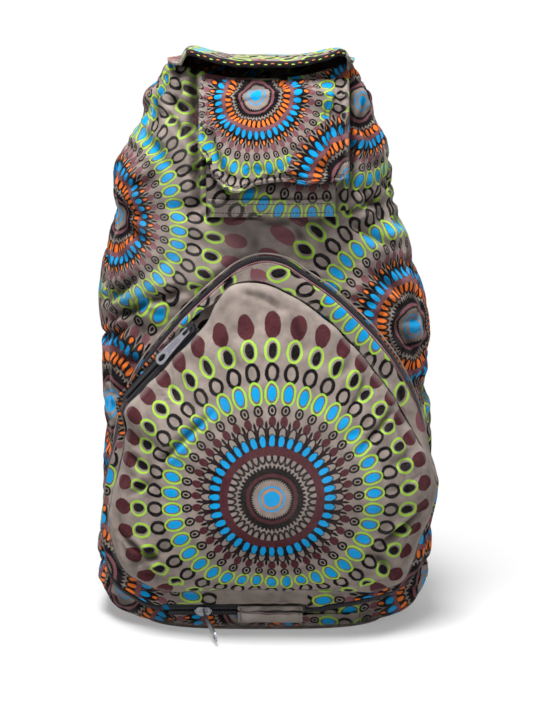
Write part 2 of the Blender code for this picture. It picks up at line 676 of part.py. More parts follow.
def dome_point(u, v):
    """A point of the front pocket's domed panel."""
    share, angle = disc(u, v)
    edge = by_angle(pocket_edge(0), angle)
    x = DOME_CENTRE[0] + share * (edge[:, 0] - DOME_CENTRE[0])
    z = DOME_CENTRE[1] + share * (edge[:, 2] - DOME_CENTRE[1])
    power = DOME_SHOULDER - DOME_SHOULDER_TOP * np.clip(np.sin(angle), 0, 1)
    y = edge[:, 1] + (-DOME_REACH - edge[:, 1]) * (1 - share ** power) ** DOME_FALL
    return np.stack([x, y, z], axis=-1)


def gusset_point(u, v):
    """A point of the gusset: u runs round it and v from the outer zip to the panel's edge."""
    angle = 2 * math.pi * u
    line = zip_line(angle)
    edge = by_angle(pocket_edge(1), angle)
    beside = line[:, 0] > LOWER_ZIP_LEFT - GUSSET_BASE_LEFT
    beside &= line[:, 0] < LOWER_ZIP_RIGHT + GUSSET_BASE_RIGHT
    along_base = beside & (line[:, 2] < GUSSET_BASE_UNDER)
    offset = np.where(along_base, 1.3 * ZIP_MOUTH, CHAIN_WIDTH / 2 + 4 * SEAT)
    reach = edge - line
    start = line + reach * (offset / np.linalg.norm(reach, axis=1))[:, None]
    start += front_facing(line[:, 0], line[:, 2]) * GUSSET_LIFT
    out = np.stack([np.cos(angle), np.full(len(angle), -GUSSET_LEAN), np.sin(angle)], axis=-1)
    bulge = GUSSET_BULGE * np.sin(math.pi * v) * np.linalg.norm(reach, axis=1) / GUSSET_USUAL_WIDTH
    return start + v[:, None] * (edge - start) + np.minimum(bulge, GUSSET_BULGE_MOST)[:, None] * out


def ring_patch(name, around, across, place, thickness, finish_material):
    """A closed band: a grid rolled round, with its first and last columns welded."""
    piece = patch(name, around, across, place, thickness, finish_material)
    band = bmesh.new()
    band.from_mesh(piece.data)
    bmesh.ops.remove_doubles(band, verts=band.verts, dist=1e-5)
    band.to_mesh(piece.data)
    band.free()
    return piece


def front_pocket():
    patch("front_pocket_panel", 16, 16, dome_point, CLOTH, PRINTED_COTTON)
    ring_patch("pocket_gusset", 64, 3, gusset_point, CLOTH, PRINTED_COTTON)
    base_strip()


def base_strip():
    """The strip of cloth between the lower zip and the base."""
    low, high = BASE_THICKNESS + 2 * SEAT, LOWER_ZIP_HEIGHT - ZIP_MOUTH

    def place(u, v):
        x = (2 * u - 1) * BASE_STRIP_HALF_LENGTH
        z = low + v * (high - low)
        y = body_depth(x, z, -1) - STRIP_THICKNESS - 4 * SEAT
        return np.stack([x, y, z], axis=-1)

    patch("pocket_base_strip", 18, 1, place, STRIP_THICKNESS, PRINTED_COTTON)


# Zips
def outer_zip():
    """The outer zip's closed chain, from one side of the base over the arch to the other."""
    down = LOWER_ZIP_HEIGHT - DOME_CENTRE[1]
    first = math.atan2(down, LOWER_ZIP_RIGHT + CHAIN_OVERRUN_RIGHT - DOME_CENTRE[0])
    last = math.atan2(down, LOWER_ZIP_LEFT - CHAIN_OVERRUN_LEFT - DOME_CENTRE[0])
    last += 2 * math.pi

    def place(u, v):
        return beside_zip(first + u * (last - first), (v - 0.5) * CHAIN_WIDTH, 0.0)

    patch("outer_zip", 72, 1, place, CHAIN_THICKNESS, NYLON_COIL, offset=0.0)


def piping():
    """The piping that edges the gusset beside the outer zip's arch."""
    angles = np.radians(np.linspace(-2, 168, 44))
    aside = CHAIN_WIDTH / 2 + PIPING_RADIUS + 2 * SEAT
    points = beside_zip(angles, aside, PIPING_RADIUS - CHAIN_STAND + 3 * SEAT)
    finish(wire("zip_piping", points, PIPING_RADIUS, sides=1), "zip_piping", ROSE_PIPING)


def comb(length, sign):
    """The outline of one row of coil teeth, on the side that sign gives. The roots lie on a slight bow."""
    def root(x):
        return (x, sign * (CHAIN_GAP + TOOTH_DEPTH + ROOT_BOW * math.sin(math.pi * x / length)))

    points = [(0, sign * TAPE_REACH), root(0)]
    shift = 0 if sign > 0 else TOOTH_PITCH / 2
    for tooth in range(int(length / TOOTH_PITCH)):
        start = shift + (tooth + 0.25) * TOOTH_PITCH
        end = start + 0.5 * TOOTH_PITCH
        if end > length - 0.1 * TOOTH_PITCH:
            break
        points += [root(start), (start, sign * CHAIN_GAP), (end, sign * CHAIN_GAP), root(end)]
    return points + [root(length), (length, sign * TAPE_REACH)]


def zip_half(name, length, sign, frame):
    """Half of an open zip: its tape, with the coil's teeth along the inner edge."""
    return outline_piece(name, [comb(length, sign)], TAPE_THICKNESS, NYLON_COIL, frame)


def straight_zips():
    zip_half("side_zip_inner_half", SIDE_ZIP_LENGTH, 1, SIDE_ZIP_FRAME)
    zip_half("side_zip_outer_half", SIDE_ZIP_LENGTH, -1, SIDE_ZIP_FRAME)
    start = LOWER_ZIP_FRAME @ Matrix.Translation((LOWER_ZIP_LEFT, 0, 0))
    length = PATCH_LEFT - SEAT - LOWER_ZIP_LEFT
    zip_half("lower_zip_lower_half", length, -1, start)
    zip_half("lower_zip_upper_half", length, 1, start)


def zip_patch():
    """Two leaves of cloth that cover the ends of the outer zip, above and below its slot."""
    middle = (PATCH_LEFT + PATCH_RIGHT) / 2
    half = (PATCH_RIGHT - PATCH_LEFT) / 2
    lift = CHAIN_THICKNESS / 2 + SEAT + PATCH_THICKNESS / 2
    for name, low, high in (("zip_patch_upper", PATCH_SLOT / 2, ZIP_MOUTH - 2 * SEAT),
                            ("zip_patch_lower", -PATCH_DROP, -PATCH_SLOT / 2)):
        frame = LOWER_ZIP_FRAME @ Matrix.Translation((middle, (low + high) / 2, lift))
        leaf = rounded(half, (high - low) / 2, PATCH_CORNER)
        outline_piece(name, [leaf], PATCH_THICKNESS, WASHED_COTTON, frame)
    stub = LOWER_ZIP_FRAME @ Matrix.Translation((middle + SEAT, 0, 0))
    outline_piece("lower_zip_end", [rounded(half - SEAT, CHAIN_WIDTH / 2, CHAIN_CORNER, 1)], CHAIN_THICKNESS,
                  NYLON_COIL, stub)


# Sliders and pulls
def slider(name, frame, finish_material):
    """A coil slider: two plates with side flanges, the neck between them and the crown on top."""
    half = SLIDER_LENGTH / 2
    plate = rounded(half, SLIDER_HALF_WIDTH, SLIDER_CORNER)
    top = Matrix.Translation((0, 0, SLIDER_CHANNEL + SLIDER_PLATE / 2))
    bottom = Matrix.Translation((0, 0, -SLIDER_CHANNEL - SLIDER_PLATE / 2))
    body_top = outline_piece(name, [plate], SLIDER_PLATE, finish_material, frame @ top)
    tools = [outline_piece("lower plate", [plate], SLIDER_PLATE, finish_material, frame @ bottom)]
    neck_height = 2 * SLIDER_CHANNEL + SLIDER_PLATE
    tools.append(box((NECK_LENGTH, 2 * NECK_HALF_WIDTH, neck_height), (SLIDER_CORNER - half, 0, 0), frame))
    depth = SLIDER_CHANNEL - FLANGE_GAP
    for sign in (-1, 1):
        for level in (-1, 1):
            centre = (FLANGE_PLACE, sign * (SLIDER_HALF_WIDTH - FLANGE_WIDTH / 2 - FLANGE_INSET),
                      level * (FLANGE_GAP + (depth + SLIDER_OVERLAP) / 2))
            tools.append(box((FLANGE_LENGTH, FLANGE_WIDTH, depth + SLIDER_OVERLAP), centre, frame))
    turns = np.radians(np.linspace(0, 180, 9))
    base = SLIDER_CHANNEL + SLIDER_PLATE - SLIDER_OVERLAP
    rise = crown_rise()
    arch = [(CROWN_HALF_LENGTH * math.cos(t), 0, base + rise * math.sin(t) ** 0.7) for t in turns]
    tools.append(wire("crown", arch, CROWN_WIRE, frame=frame))
    return unite(body_top, tools)


def pivot_height():
    """The height of the pull's bar over the zip's middle plane."""
    return SLIDER_CHANNEL + SLIDER_PLATE + PULL_THICKNESS / 2 + PULL_CLEARANCE


def crown_rise():
    return SLIDER_OVERLAP + PULL_CLEARANCE + PULL_THICKNESS + CROWN_CLEARANCE + CROWN_WIRE


def pull_tab(name, frame):
    """A pull tab with a window for the crown, a waist and an oval hole at its free end."""
    near, far, length = PULL_NEAR_HALF_WIDTH, PULL_FAR_HALF_WIDTH, PULL_LENGTH
    cap = [(length - far + far * math.cos(t), far * math.sin(t)) for t in np.radians(np.linspace(-75, 75, 9))]
    outer = [(-PULL_BAR, PULL_BAR_TAPER - near), (0, -near), (PULL_WAIST, -near)] + cap
    outer += [(PULL_WAIST, near), (0, near), (-PULL_BAR, near - PULL_BAR_TAPER)]
    window = [(PULL_BAR + x, y) for x, y in
              [(0, -PULL_WINDOW_HALF_WIDTH), (0, PULL_WINDOW_HALF_WIDTH),
               (PULL_WINDOW_LENGTH, PULL_WINDOW_HALF_WIDTH), (PULL_WINDOW_LENGTH, -PULL_WINDOW_HALF_WIDTH)]]
    middle = length - PULL_HOLE_LENGTH / 2 - PULL_HOLE_RIM
    hole = [(middle + PULL_HOLE_LENGTH / 2 * math.cos(t), PULL_HOLE_WIDTH / 2 * math.sin(t))
            for t in np.radians(np.arange(0, 360, 24))]
    return outline_piece(name, [outer, window, hole], PULL_THICKNESS, NICKEL, frame)


def sliders():
    side = SIDE_ZIP_FRAME @ Matrix.Translation((SIDE_SLIDER_INSET, 0, 0))
    slider("side_slider", side, GUNMETAL)
    pull_tab("side_pull", side @ Matrix.Translation((0, 0, pivot_height())))
    lower = LOWER_ZIP_FRAME @ Matrix.Translation((LOWER_SLIDER_PLACE, 0, 0))
    slider("lower_slider", lower, NICKEL)
    hanging = Matrix.Translation((0, 0, pivot_height())) @ Matrix.Rotation(-LOWER_PULL_TURN, 4, "Y")
    pull_tab("lower_pull", lower @ hanging)


# Harness
def back_depth(x, z):
    return body_depth(np.asarray(x, dtype=float), np.asarray(z, dtype=float), 1)


def strap_line(share):
    """The middle of a shoulder strap, from its top (share 0) to its end, on the right side."""
    z = STRAP_TOP - share * (STRAP_TOP - STRAP_END)
    x = STRAP_TOP_OFFSET + (STRAP_END_OFFSET - STRAP_TOP_OFFSET) * share ** 1.3
    rest = STRAP_THICKNESS / 2 + 5 * SEAT
    y = back_depth(x - STRAP_LEAN, z) + rest + STRAP_BULGE * smooth(STRAP_BOW, share)
    return np.stack([x, y, z], axis=-1)


def shoulder_strap(side, label):
    def place(u, v):
        share = 1 - v
        centre = strap_line(share)
        half = np.interp(share, *zip(*STRAP_HALF_WIDTHS))
        offset = (2 * u - 1) * half
        sag = -STRAP_EDGE_SAG * (2 * u - 1) ** 2
        return np.stack([side * centre[:, 0] + offset, centre[:, 1] + sag, centre[:, 2]], axis=-1)

    strap = patch(f"shoulder_strap_{label}", 3, 14, place, STRAP_THICKNESS, PRINTED_COTTON, offset=0.0)
    edge = strap.modifiers.new("rolled edge", "BEVEL")
    edge.width = STRAP_ROLLED_EDGE
    edge.segments = 2
    edge.angle_limit = math.radians(50)


def ribbon(name, path, x, width, finish_material, thickness=WEBBING_THICKNESS):
    """A webbing along a path of (y, z) points, at x."""
    path = np.array(path)
    share = np.linspace(0, 1, len(path))

    def place(u, v):
        y = np.interp(v, share, path[:, 0])
        z = np.interp(v, share, path[:, 1])
        return np.stack([x + (u - 0.5) * width, y, z], axis=-1)

    return patch(name, 1, len(path) - 1, place, thickness, finish_material, offset=0.0)


def turn_round(centre_y, centre_z, radius, first, last, steps=6):
    turns = np.radians(np.linspace(first, last, steps))
    return [(centre_y + radius * math.cos(t), centre_z + radius * math.sin(t)) for t in turns]


def ladder_lock(side, label):
    """The strap's end loop, the ladder lock it holds, and the webbing round the lock's middle bar."""
    x = side * STRAP_END_OFFSET
    end = strap_line(np.array([1.0]))[0]
    y = end[1]
    half, bar = LOCK_HEIGHT / 2, LOCK_BAR
    slot = (LOCK_HEIGHT - 3 * bar) / 2
    slot_half = WEBBING_WIDTH / 2 + LOCK_SLOT_PLAY
    holes = []
    for sign in (-1, 1):
        middle = sign * (bar / 2 + slot / 2)
        holes.append([(px, py + middle) for px, py in rounded(slot_half, slot / 2, LOCK_SLOT_CORNER, 2)])
    standing = Matrix.Translation((x, y, LOCK_PLACE)) @ Matrix.Rotation(math.radians(90), 4, "X")
    outline_piece(f"ladder_lock_{label}", [rounded(LOCK_WIDTH / 2, half, LOCK_CORNER), *holes], LOCK_THICKNESS,
                  ACETAL, standing)
    radius = math.hypot(LOCK_THICKNESS, bar) / 2 + SEAT + WEBBING_THICKNESS / 2
    top_bar = LOCK_PLACE + half - bar / 2
    reach = STRAP_END - SEAT
    loop = [(y + radius, reach)] + turn_round(y, top_bar, radius, 0, -180, 7) + [(y - radius, reach)]
    ribbon(f"strap_loop_{label}", loop, x, WEBBING_WIDTH, WEBBING)
    anchor_y = anchor_depth() + CLOTH + SEAT + WEBBING_THICKNESS
    bottom = LOCK_PLACE - half
    bend_y = anchor_y + WEBBING_BEND_SHARE * (y - radius - anchor_y)
    route = [(anchor_y, ANCHOR_HEIGHT - WEBBING_SEWN), (anchor_y, ANCHOR_HEIGHT + WEBBING_LEAVES),
             (bend_y, ANCHOR_HEIGHT + WEBBING_BEND_HEIGHT),
             (y - radius, bottom - WEBBING_TURNS_IN), (y - radius, LOCK_PLACE)]
    route += turn_round(y, LOCK_PLACE, radius, 180, 0, 7)
    route += [(y + radius, bottom), (y + radius + WEBBING_TAIL_STAND, bottom - WEBBING_TAIL)]
    ribbon(f"webbing_{label}", route, x, WEBBING_WIDTH, WEBBING)


def anchor_depth():
    """The y of the anchor tabs' inner face, on the back panel."""
    return float(back_depth(STRAP_END_OFFSET - ANCHOR_SIZE / 2, ANCHOR_HEIGHT))


def anchor_tab(side, label):
    """A three-cornered tab of doubled cloth that holds the webbing's lower end to the back."""
    half = ANCHOR_SIZE / 2
    shoulder, tip = -ANCHOR_SHOULDER * half, ANCHOR_TIP * half
    outline = [(-half, -half), (half, -half), (half, shoulder), (tip, half), (-tip, half), (-half, shoulder)]
    middle = (side * STRAP_END_OFFSET, anchor_depth() + CLOTH / 2, ANCHOR_HEIGHT - ANCHOR_DROP)
    place = Matrix.Translation(middle)
    outline_piece(f"anchor_tab_{label}", [outline], CLOTH, PRINTED_COTTON,
                  place @ Matrix.Rotation(math.radians(90), 4, "X"))


def haul_loop():
    """The hand loop: a webbing that stands out from the back between the straps."""
    def place(u, v):
        turn = math.pi * u
        x = HAUL_LOOP_HALF_SPAN * np.cos(turn)
        wall = back_depth(HAUL_LOOP_HALF_SPAN, HAUL_LOOP_HEIGHT - HAUL_LOOP_WIDTH / 2)
        start = wall + SEAT + WEBBING_THICKNESS
        y = start + HAUL_LOOP_REACH * np.sin(turn) ** 0.8
        z = HAUL_LOOP_HEIGHT + (v - 0.5) * HAUL_LOOP_WIDTH
        return np.stack([x, y, np.broadcast_to(z, x.shape)], axis=-1)

    patch("haul_loop", 14, 1, place, 2 * WEBBING_THICKNESS, WEBBING, offset=0.0)


def harness():
    for side, label in ((-1, "left"), (1, "right")):
        shoulder_strap(side, label)
        ladder_lock(side, label)
        anchor_tab(side, label)
    haul_loop()


body()
top_lid()
small_pocket()
pocket_flap()
front_pocket()
outer_zip()
piping()
straight_zips()
zip_patch()
sliders()
harness()
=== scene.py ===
"""Looks of the stuffed cotton rucksack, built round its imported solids.

X is to the right of someone who looks at the front, Y runs from the front to the back and Z is up, in metres.
"""

import math

import bmesh
import bpy
import numpy as np
from mathutils import Matrix, Vector


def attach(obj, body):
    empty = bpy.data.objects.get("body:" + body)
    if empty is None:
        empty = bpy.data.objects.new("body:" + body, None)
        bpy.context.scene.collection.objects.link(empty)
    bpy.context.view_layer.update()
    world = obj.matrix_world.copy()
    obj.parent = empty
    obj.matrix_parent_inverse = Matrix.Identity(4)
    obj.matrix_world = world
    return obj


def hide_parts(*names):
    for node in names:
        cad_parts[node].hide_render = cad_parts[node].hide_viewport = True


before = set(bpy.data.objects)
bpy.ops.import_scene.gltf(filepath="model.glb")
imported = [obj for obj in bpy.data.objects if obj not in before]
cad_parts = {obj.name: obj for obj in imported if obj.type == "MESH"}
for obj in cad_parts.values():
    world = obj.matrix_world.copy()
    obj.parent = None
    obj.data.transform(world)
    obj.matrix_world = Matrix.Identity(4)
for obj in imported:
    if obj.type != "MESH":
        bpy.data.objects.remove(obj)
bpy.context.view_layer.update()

MM = 0.001

# Body of the bag: the reach of its walls at each height, as the solids have it
BASE_THICKNESS = 0.0030
MOUTH_BACK = 0.4605
MOUTH_FRONT = MOUTH_BACK - 0.0115
LEFT_REACH = [
    (0.000, 0.105), (0.008, 0.125), (0.022, 0.137), (0.050, 0.140), (0.092, 0.138), (0.134, 0.136),
    (0.226, 0.135), (0.297, 0.1345), (0.317, 0.130), (0.337, 0.1262), (0.357, 0.127), (0.377, 0.123),
    (0.396, 0.111), (0.416, 0.101), (0.436, 0.096), (0.450, 0.088), (0.461, 0.080),
]
RIGHT_REACH = [
    (0.000, 0.100), (0.008, 0.118), (0.022, 0.131), (0.050, 0.137), (0.092, 0.138), (0.134, 0.138),
    (0.196, 0.133), (0.257, 0.132), (0.277, 0.127), (0.297, 0.120), (0.317, 0.1145), (0.337, 0.105),
    (0.357, 0.1005), (0.377, 0.1015), (0.396, 0.099), (0.416, 0.0915), (0.436, 0.085), (0.450, 0.0775),
    (0.461, 0.0710),
]
FRONT_REACH = [
    (0.000, 0.0660), (0.012, 0.0685), (0.100, 0.0700), (0.310, 0.0700), (0.360, 0.0660), (0.410, 0.0580),
    (0.450, 0.0490), (0.461, 0.0460),
]
BACK_REACH = [
    (0.000, 0.062), (0.020, 0.071), (0.060, 0.076), (0.200, 0.078), (0.300, 0.072), (0.380, 0.061),
    (0.440, 0.049), (0.461, 0.044),
]
SQUARENESS_LOW = 3.2
SQUARENESS_HIGH = 2.6
CLOTH = 0.0024
SEAT = 0.0003
FRONT_SEAM_ANGLE = 20.0
BACK_SEAM_ANGLE = 40.0

# Lid over the mouth
LID_FRONT = 0.0580
LID_SQUARENESS = 4.0
LID_INSET = 0.0006
LID_DROP = 0.0024
LID_SAG = 0.0014
LID_LIFT = 0.0090
LID_LIFT_FROM = 0.0180
LID_LIFT_OVER = 0.0400
LID_LIFT_END = 0.0045
LID_LIFT_BACK = 0.0450
LID_LIFT_RUN = 0.0500
VISOR_START = 0.0150
VISOR_RUN = 0.0350

# Small pocket and flap
SMALL_POCKET_LEFT = -0.0480
SMALL_POCKET_RIGHT = 0.0545
SMALL_POCKET_BOTTOM = 0.3405
SMALL_POCKET_TOP = 0.4340
SMALL_POCKET_DEPTH = 0.0170
FLAP_LEFT = -0.0535
FLAP_RIGHT = 0.0655
FLAP_TOP = MOUTH_FRONT - 0.0010
FLAP_LOWER_EDGE = [
    (-0.0535, 0.3950), (-0.0465, 0.3880), (-0.0412, 0.3770), (-0.0330, 0.3660), (-0.0257, 0.3625),
    (-0.0078, 0.3686), (0.0117, 0.3709), (0.0311, 0.3690), (0.0655, 0.3709),
]

# Front pocket and its zips
DOME_CENTRE = (0.0041, 0.1261)
DOME_REACH = 0.1220
SIDE_ZIP_TOP = Vector((-0.0563, -0.0790, 0.2556))
SIDE_ZIP_BOTTOM = Vector((-0.1136, -0.0660, 0.1922))
SIDE_ZIP_FACES = Vector((-0.42, -0.82, 0.38))
LOWER_ZIP_HEIGHT = 0.0190
LOWER_ZIP_REACH = 0.0735
LOWER_ZIP_LEFT = -0.0800
LOWER_ZIP_RIGHT = 0.0300
LOWER_ZIP_TILT = math.radians(20.5)
POCKET_EDGE = [
    (-0.0032, -0.0800, 0.2894), (-0.0261, -0.0800, 0.2880), (-0.0400, -0.0800, 0.2740), "side zip",
    (-0.1145, -0.0625, 0.1640), (-0.1210, -0.0580, 0.1330), (-0.1285, -0.0555, 0.1040),
    (-0.1290, -0.0590, 0.0780), (-0.1185, -0.0660, 0.0530), (-0.1010, -0.0720, 0.0400),
    (-0.0731, -0.0800, 0.0355), (-0.0323, -0.0860, 0.0385), (0.0275, -0.0860, 0.0385),
    (0.0700, -0.0800, 0.0355), (0.0988, -0.0740, 0.0360), (0.1150, -0.0670, 0.0440),
    (0.1240, -0.0620, 0.0670), (0.1345, -0.0560, 0.0940), (0.1400, -0.0560, 0.1160),
    (0.1330, -0.0590, 0.1400), (0.1180, -0.0640, 0.1680), (0.1020, -0.0690, 0.1961),
    (0.0831, -0.0730, 0.2214), (0.0629, -0.0760, 0.2455), (0.0404, -0.0790, 0.2661),
    (0.0182, -0.0800, 0.2800),
]
ZIP_PATH = [
    (-0.0032, 0.3080), (-0.0206, 0.3024), (-0.0366, 0.2904), (-0.0526, 0.2758), (-0.0687, 0.2593),
    (-0.0851, 0.2390), (-0.0976, 0.2219), (-0.1078, 0.2022), (-0.1157, 0.1806), (-0.1221, 0.1545),
    (-0.1290, 0.1270), (-0.1320, 0.0970), (-0.1325, 0.0650), (-0.1260, 0.0400), (-0.1090, 0.0275),
    (LOWER_ZIP_LEFT, LOWER_ZIP_HEIGHT), (LOWER_ZIP_RIGHT, LOWER_ZIP_HEIGHT), (0.0523, 0.0215),
    (0.0861, 0.0270), (0.1105, 0.0360), (0.1260, 0.0530), (0.1315, 0.0790), (0.1325, 0.1080),
    (0.1315, 0.1353), (0.1275, 0.1628), (0.1196, 0.1889), (0.1110, 0.2079), (0.1000, 0.2276),
    (0.0851, 0.2471), (0.0671, 0.2658), (0.0509, 0.2806), (0.0310, 0.2944), (0.0151, 0.3048),
]
CHAIN_WIDTH = 0.0046
CHAIN_STAND = 0.0020
ZIP_MOUTH = 0.0052
PATCH_LEFT = -0.0236
PATCH_RIGHT = 0.0294
PATCH_DROP = 0.0110
SIDE_SLIDER_INSET = 0.0065
LOWER_SLIDER_PLACE = -0.0515
PULL_PIVOT = 0.0034

# Harness
STRAP_TOP = MOUTH_BACK - 0.0285
STRAP_END = 0.1650
STRAP_TOP_OFFSET = 0.0400
STRAP_END_OFFSET = 0.0780
STRAP_BULGE = 0.0340
STRAP_BOW = [(0, 0), (0.12, 0.45), (0.30, 0.92), (0.45, 1.0), (0.70, 0.95), (0.90, 0.80), (1.0, 0.78)]
WEBBING_WIDTH = 0.0250
WEBBING_THICKNESS = 0.0012
LOCK_PLACE = 0.1330
LOCK_HEIGHT = 0.0240
LOCK_BAR = 0.0030
ANCHOR_HEIGHT = 0.0520
ANCHOR_SIZE = 0.0320
HAUL_LOOP_HALF_SPAN = 0.0240
HAUL_LOOP_REACH = 0.0280
HAUL_LOOP_HEIGHT = MOUTH_BACK - 0.0160
HAUL_LOOP_WIDTH = 0.0200


# Curves through chosen points
def smooth(knots, x):
    """The height at x of a smooth curve through (x, height) knots."""
    xs, ys = np.array(knots, dtype=float).T
    slopes = np.gradient(ys, xs)
    at = np.clip(np.asarray(x, dtype=float), xs[0], xs[-1])
    i = np.clip(np.searchsorted(xs, at) - 1, 0, len(xs) - 2)
    span = xs[i + 1] - xs[i]
    t = (at - xs[i]) / span
    rise = (3 - 2 * t) * t * t
    ends = (1 - rise) * ys[i] + rise * ys[i + 1]
    return ends + span * t * (1 - t) * ((1 - t) * slopes[i] - t * slopes[i + 1])


def closed_curve(knots, steps=10):
    """Points of a smooth closed curve through the knots."""
    corners = np.array(knots, dtype=float)
    before, after, beyond = (np.roll(corners, shift, axis=0) for shift in (1, -1, -2))
    points = []
    for t in np.arange(steps) / steps:
        leaving = (1 - t) * (2 * corners - before - after)
        arriving = t * (2 * after - corners - beyond)
        points.append((1 - t) * corners + t * after + t * (1 - t) / 2 * (leaving + arriving))
    return np.stack(points, axis=1).reshape(-1, corners.shape[1])


def by_angle(points, angle, centre=DOME_CENTRE):
    """The points of a closed curve in the directions angle, seen from the front round the centre."""
    turns = np.arctan2(points[:, -1] - centre[1], points[:, 0] - centre[0]) % (2 * math.pi)
    order = np.argsort(turns)
    wanted = np.asarray(angle) % (2 * math.pi)
    columns = [np.interp(wanted, turns[order], column[order], period=2 * math.pi) for column in points.T]
    return np.stack(columns, axis=-1)


# Shape of the stuffed body
def squareness(z):
    """How square the body's outline is at a height: 2 is an ellipse, and more is squarer."""
    share = np.clip((np.asarray(z) - 0.10) / 0.20, 0, 1)
    return SQUARENESS_LOW + (SQUARENESS_HIGH - SQUARENESS_LOW) * share


def body_point(angle, z, inset=0.0):
    """A point of the body's outside, at an angle in degrees from +X towards the back, and a height."""
    left, right = smooth(LEFT_REACH, z) - inset, smooth(RIGHT_REACH, z) - inset
    front, back = smooth(FRONT_REACH, z) - inset, smooth(BACK_REACH, z) - inset
    turn = np.radians(angle)
    power = 2 / squareness(z)
    across = np.sign(np.cos(turn)) * np.abs(np.cos(turn)) ** power
    along = np.sign(np.sin(turn)) * np.abs(np.sin(turn)) ** power
    x = (right - left) / 2 + (right + left) / 2 * across
    y = (back - front) / 2 + (back + front) / 2 * along
    return np.stack([x, y, np.broadcast_to(z, x.shape)], axis=-1)


def body_depth(x, z, side):
    """The y of the body's outside at x and z: side is -1 at the front and 1 at the back."""
    left, right = smooth(LEFT_REACH, z), smooth(RIGHT_REACH, z)
    front, back = smooth(FRONT_REACH, z), smooth(BACK_REACH, z)
    share = np.clip(np.abs((x - (right - left) / 2) / ((right + left) / 2)), 0, 0.98)
    swell = (1 - share ** squareness(z)) ** (1 / squareness(z))
    return (back - front) / 2 + side * (back + front) / 2 * swell


def front_facing(x, z):
    """The outward direction of the body's front at x and z."""
    step = 0.0008
    across = (body_depth(x + step, z, -1) - body_depth(x - step, z, -1)) / (2 * step)
    rising = (body_depth(x, z + step, -1) - body_depth(x, z - step, -1)) / (2 * step)
    out = np.stack([across, np.full(np.shape(x), -1.0), rising], axis=-1)
    return out / np.linalg.norm(out, axis=-1)[..., None]


def mouth_height(angle):
    """The height of the body's top edge: it dips at the front, under the lid."""
    dip = np.clip(-np.sin(np.radians(angle)), 0, 1) ** 4
    return MOUTH_BACK - (MOUTH_BACK - MOUTH_FRONT) * dip


def around_body(angle, z):
    """How far round the body's walls a point is from the middle of the front, along the cloth."""
    steps = np.linspace(0, 1, 41)[:, None]
    start = 270.0
    swept = start + steps * (np.asarray(angle) - start)
    line = body_point(swept, np.broadcast_to(z, swept.shape))
    return np.sign(np.asarray(angle) - start) * np.linalg.norm(np.diff(line, axis=0), axis=-1).sum(axis=0)


# Uneven cloth
def scatter(cells, seed):
    """A number from 0 to 1 for each whole-numbered cell, always the same."""
    wave = np.sin(cells @ np.array([127.1, 311.7, 74.7]) + 41.3 * seed) * 43758.5453
    return wave - np.floor(wave)


def lumps(points, size, seed):
    """Smooth heights from -1 to 1 that rise and fall over about size."""
    spots = np.asarray(points) / size
    low = np.floor(spots)
    t = spots - low
    t = t * t * (3 - 2 * t)
    total = 0
    for corner in np.ndindex(2, 2, 2):
        weight = np.prod(np.where(np.array(corner) == 1, t, 1 - t), axis=-1)
        total = total + weight * scatter(low + np.array(corner), seed)
    return 2 * total - 1


def crumple(points, size, seed):
    """Narrow winding valleys between broad swells, as washed cotton has, from -1 to 0."""
    shift = np.stack([lumps(points, size * 1.3, seed + turn) for turn in (21, 22, 23)], axis=-1)
    bent = points + 0.5 * size * shift
    valley = np.clip(1 - np.abs(lumps(bent, size, seed)) / 0.34, 0, 1) ** 1.5
    patchy = np.clip(0.55 + 0.9 * lumps(points, size * 1.9, seed + 30), 0, 1)
    return -valley * patchy


def creases(x, z, lines):
    """The depth of folds seen from the front. A line is x and z of both ends, its width and its depth."""
    depth = np.zeros(np.shape(x))
    for x1, z1, x2, z2, width, deep in lines:
        run = np.array([x2 - x1, z2 - z1])
        t = np.clip(((x - x1) * run[0] + (z - z1) * run[1]) / (run @ run), 0, 1)
        aside = np.hypot(x - x1 - t * run[0], z - z1 - t * run[1]) / width
        ends = 0.25 + 0.75 * np.sin(math.pi * np.clip(t * 0.9 + 0.05, 0, 1))
        depth += deep * ends * (np.exp(-aside ** 2) - 0.45 * np.exp(-((aside - 1.9) / 0.9) ** 2))
    return depth


def seam_pull(distance, along, pitch, depth, reach, seed):
    """How far cloth is drawn in beside a seam, with puckers along it."""
    near = np.exp(-(distance / reach) ** 1.5)
    spots = np.stack([along / pitch, np.full(np.shape(along), seed * 3.1), along * 0], axis=-1)
    return near * depth * (0.55 + 0.75 * lumps(spots, 1.0, seed))


# Pieces of cloth
def finish_piece(piece, name, finish, body="bag", replaced=()):
    """Names a finished piece, gives it its material and slot, and lets it ride on its body."""
    piece.name = name
    piece.data.name = name
    piece.data.materials.clear()
    piece.data.materials.append(finish)
    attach(piece, body)
    if replaced:
        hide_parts(*replaced)
    return piece


def grid_piece(across, along):
    """A flat grid to be shaped, with the share of its width and length at each vertex."""
    bpy.ops.object.select_all(action="DESELECT")
    bpy.ops.mesh.primitive_grid_add(x_subdivisions=across, y_subdivisions=along, size=1)
    piece = bpy.context.object
    spots = places_of(piece)[:, :2] + 0.5
    return piece, spots[:, 0], spots[:, 1]


def places_of(piece):
    """The places of a piece's vertices, one row for each."""
    flat = np.empty(len(piece.data.vertices) * 3)
    piece.data.vertices.foreach_get("co", flat)
    return flat.reshape(-1, 3)


def set_places(piece, places):
    """Moves a piece's vertices to the places."""
    piece.data.vertices.foreach_set("co", np.ascontiguousarray(places, dtype=np.float32).ravel())
    piece.data.update()


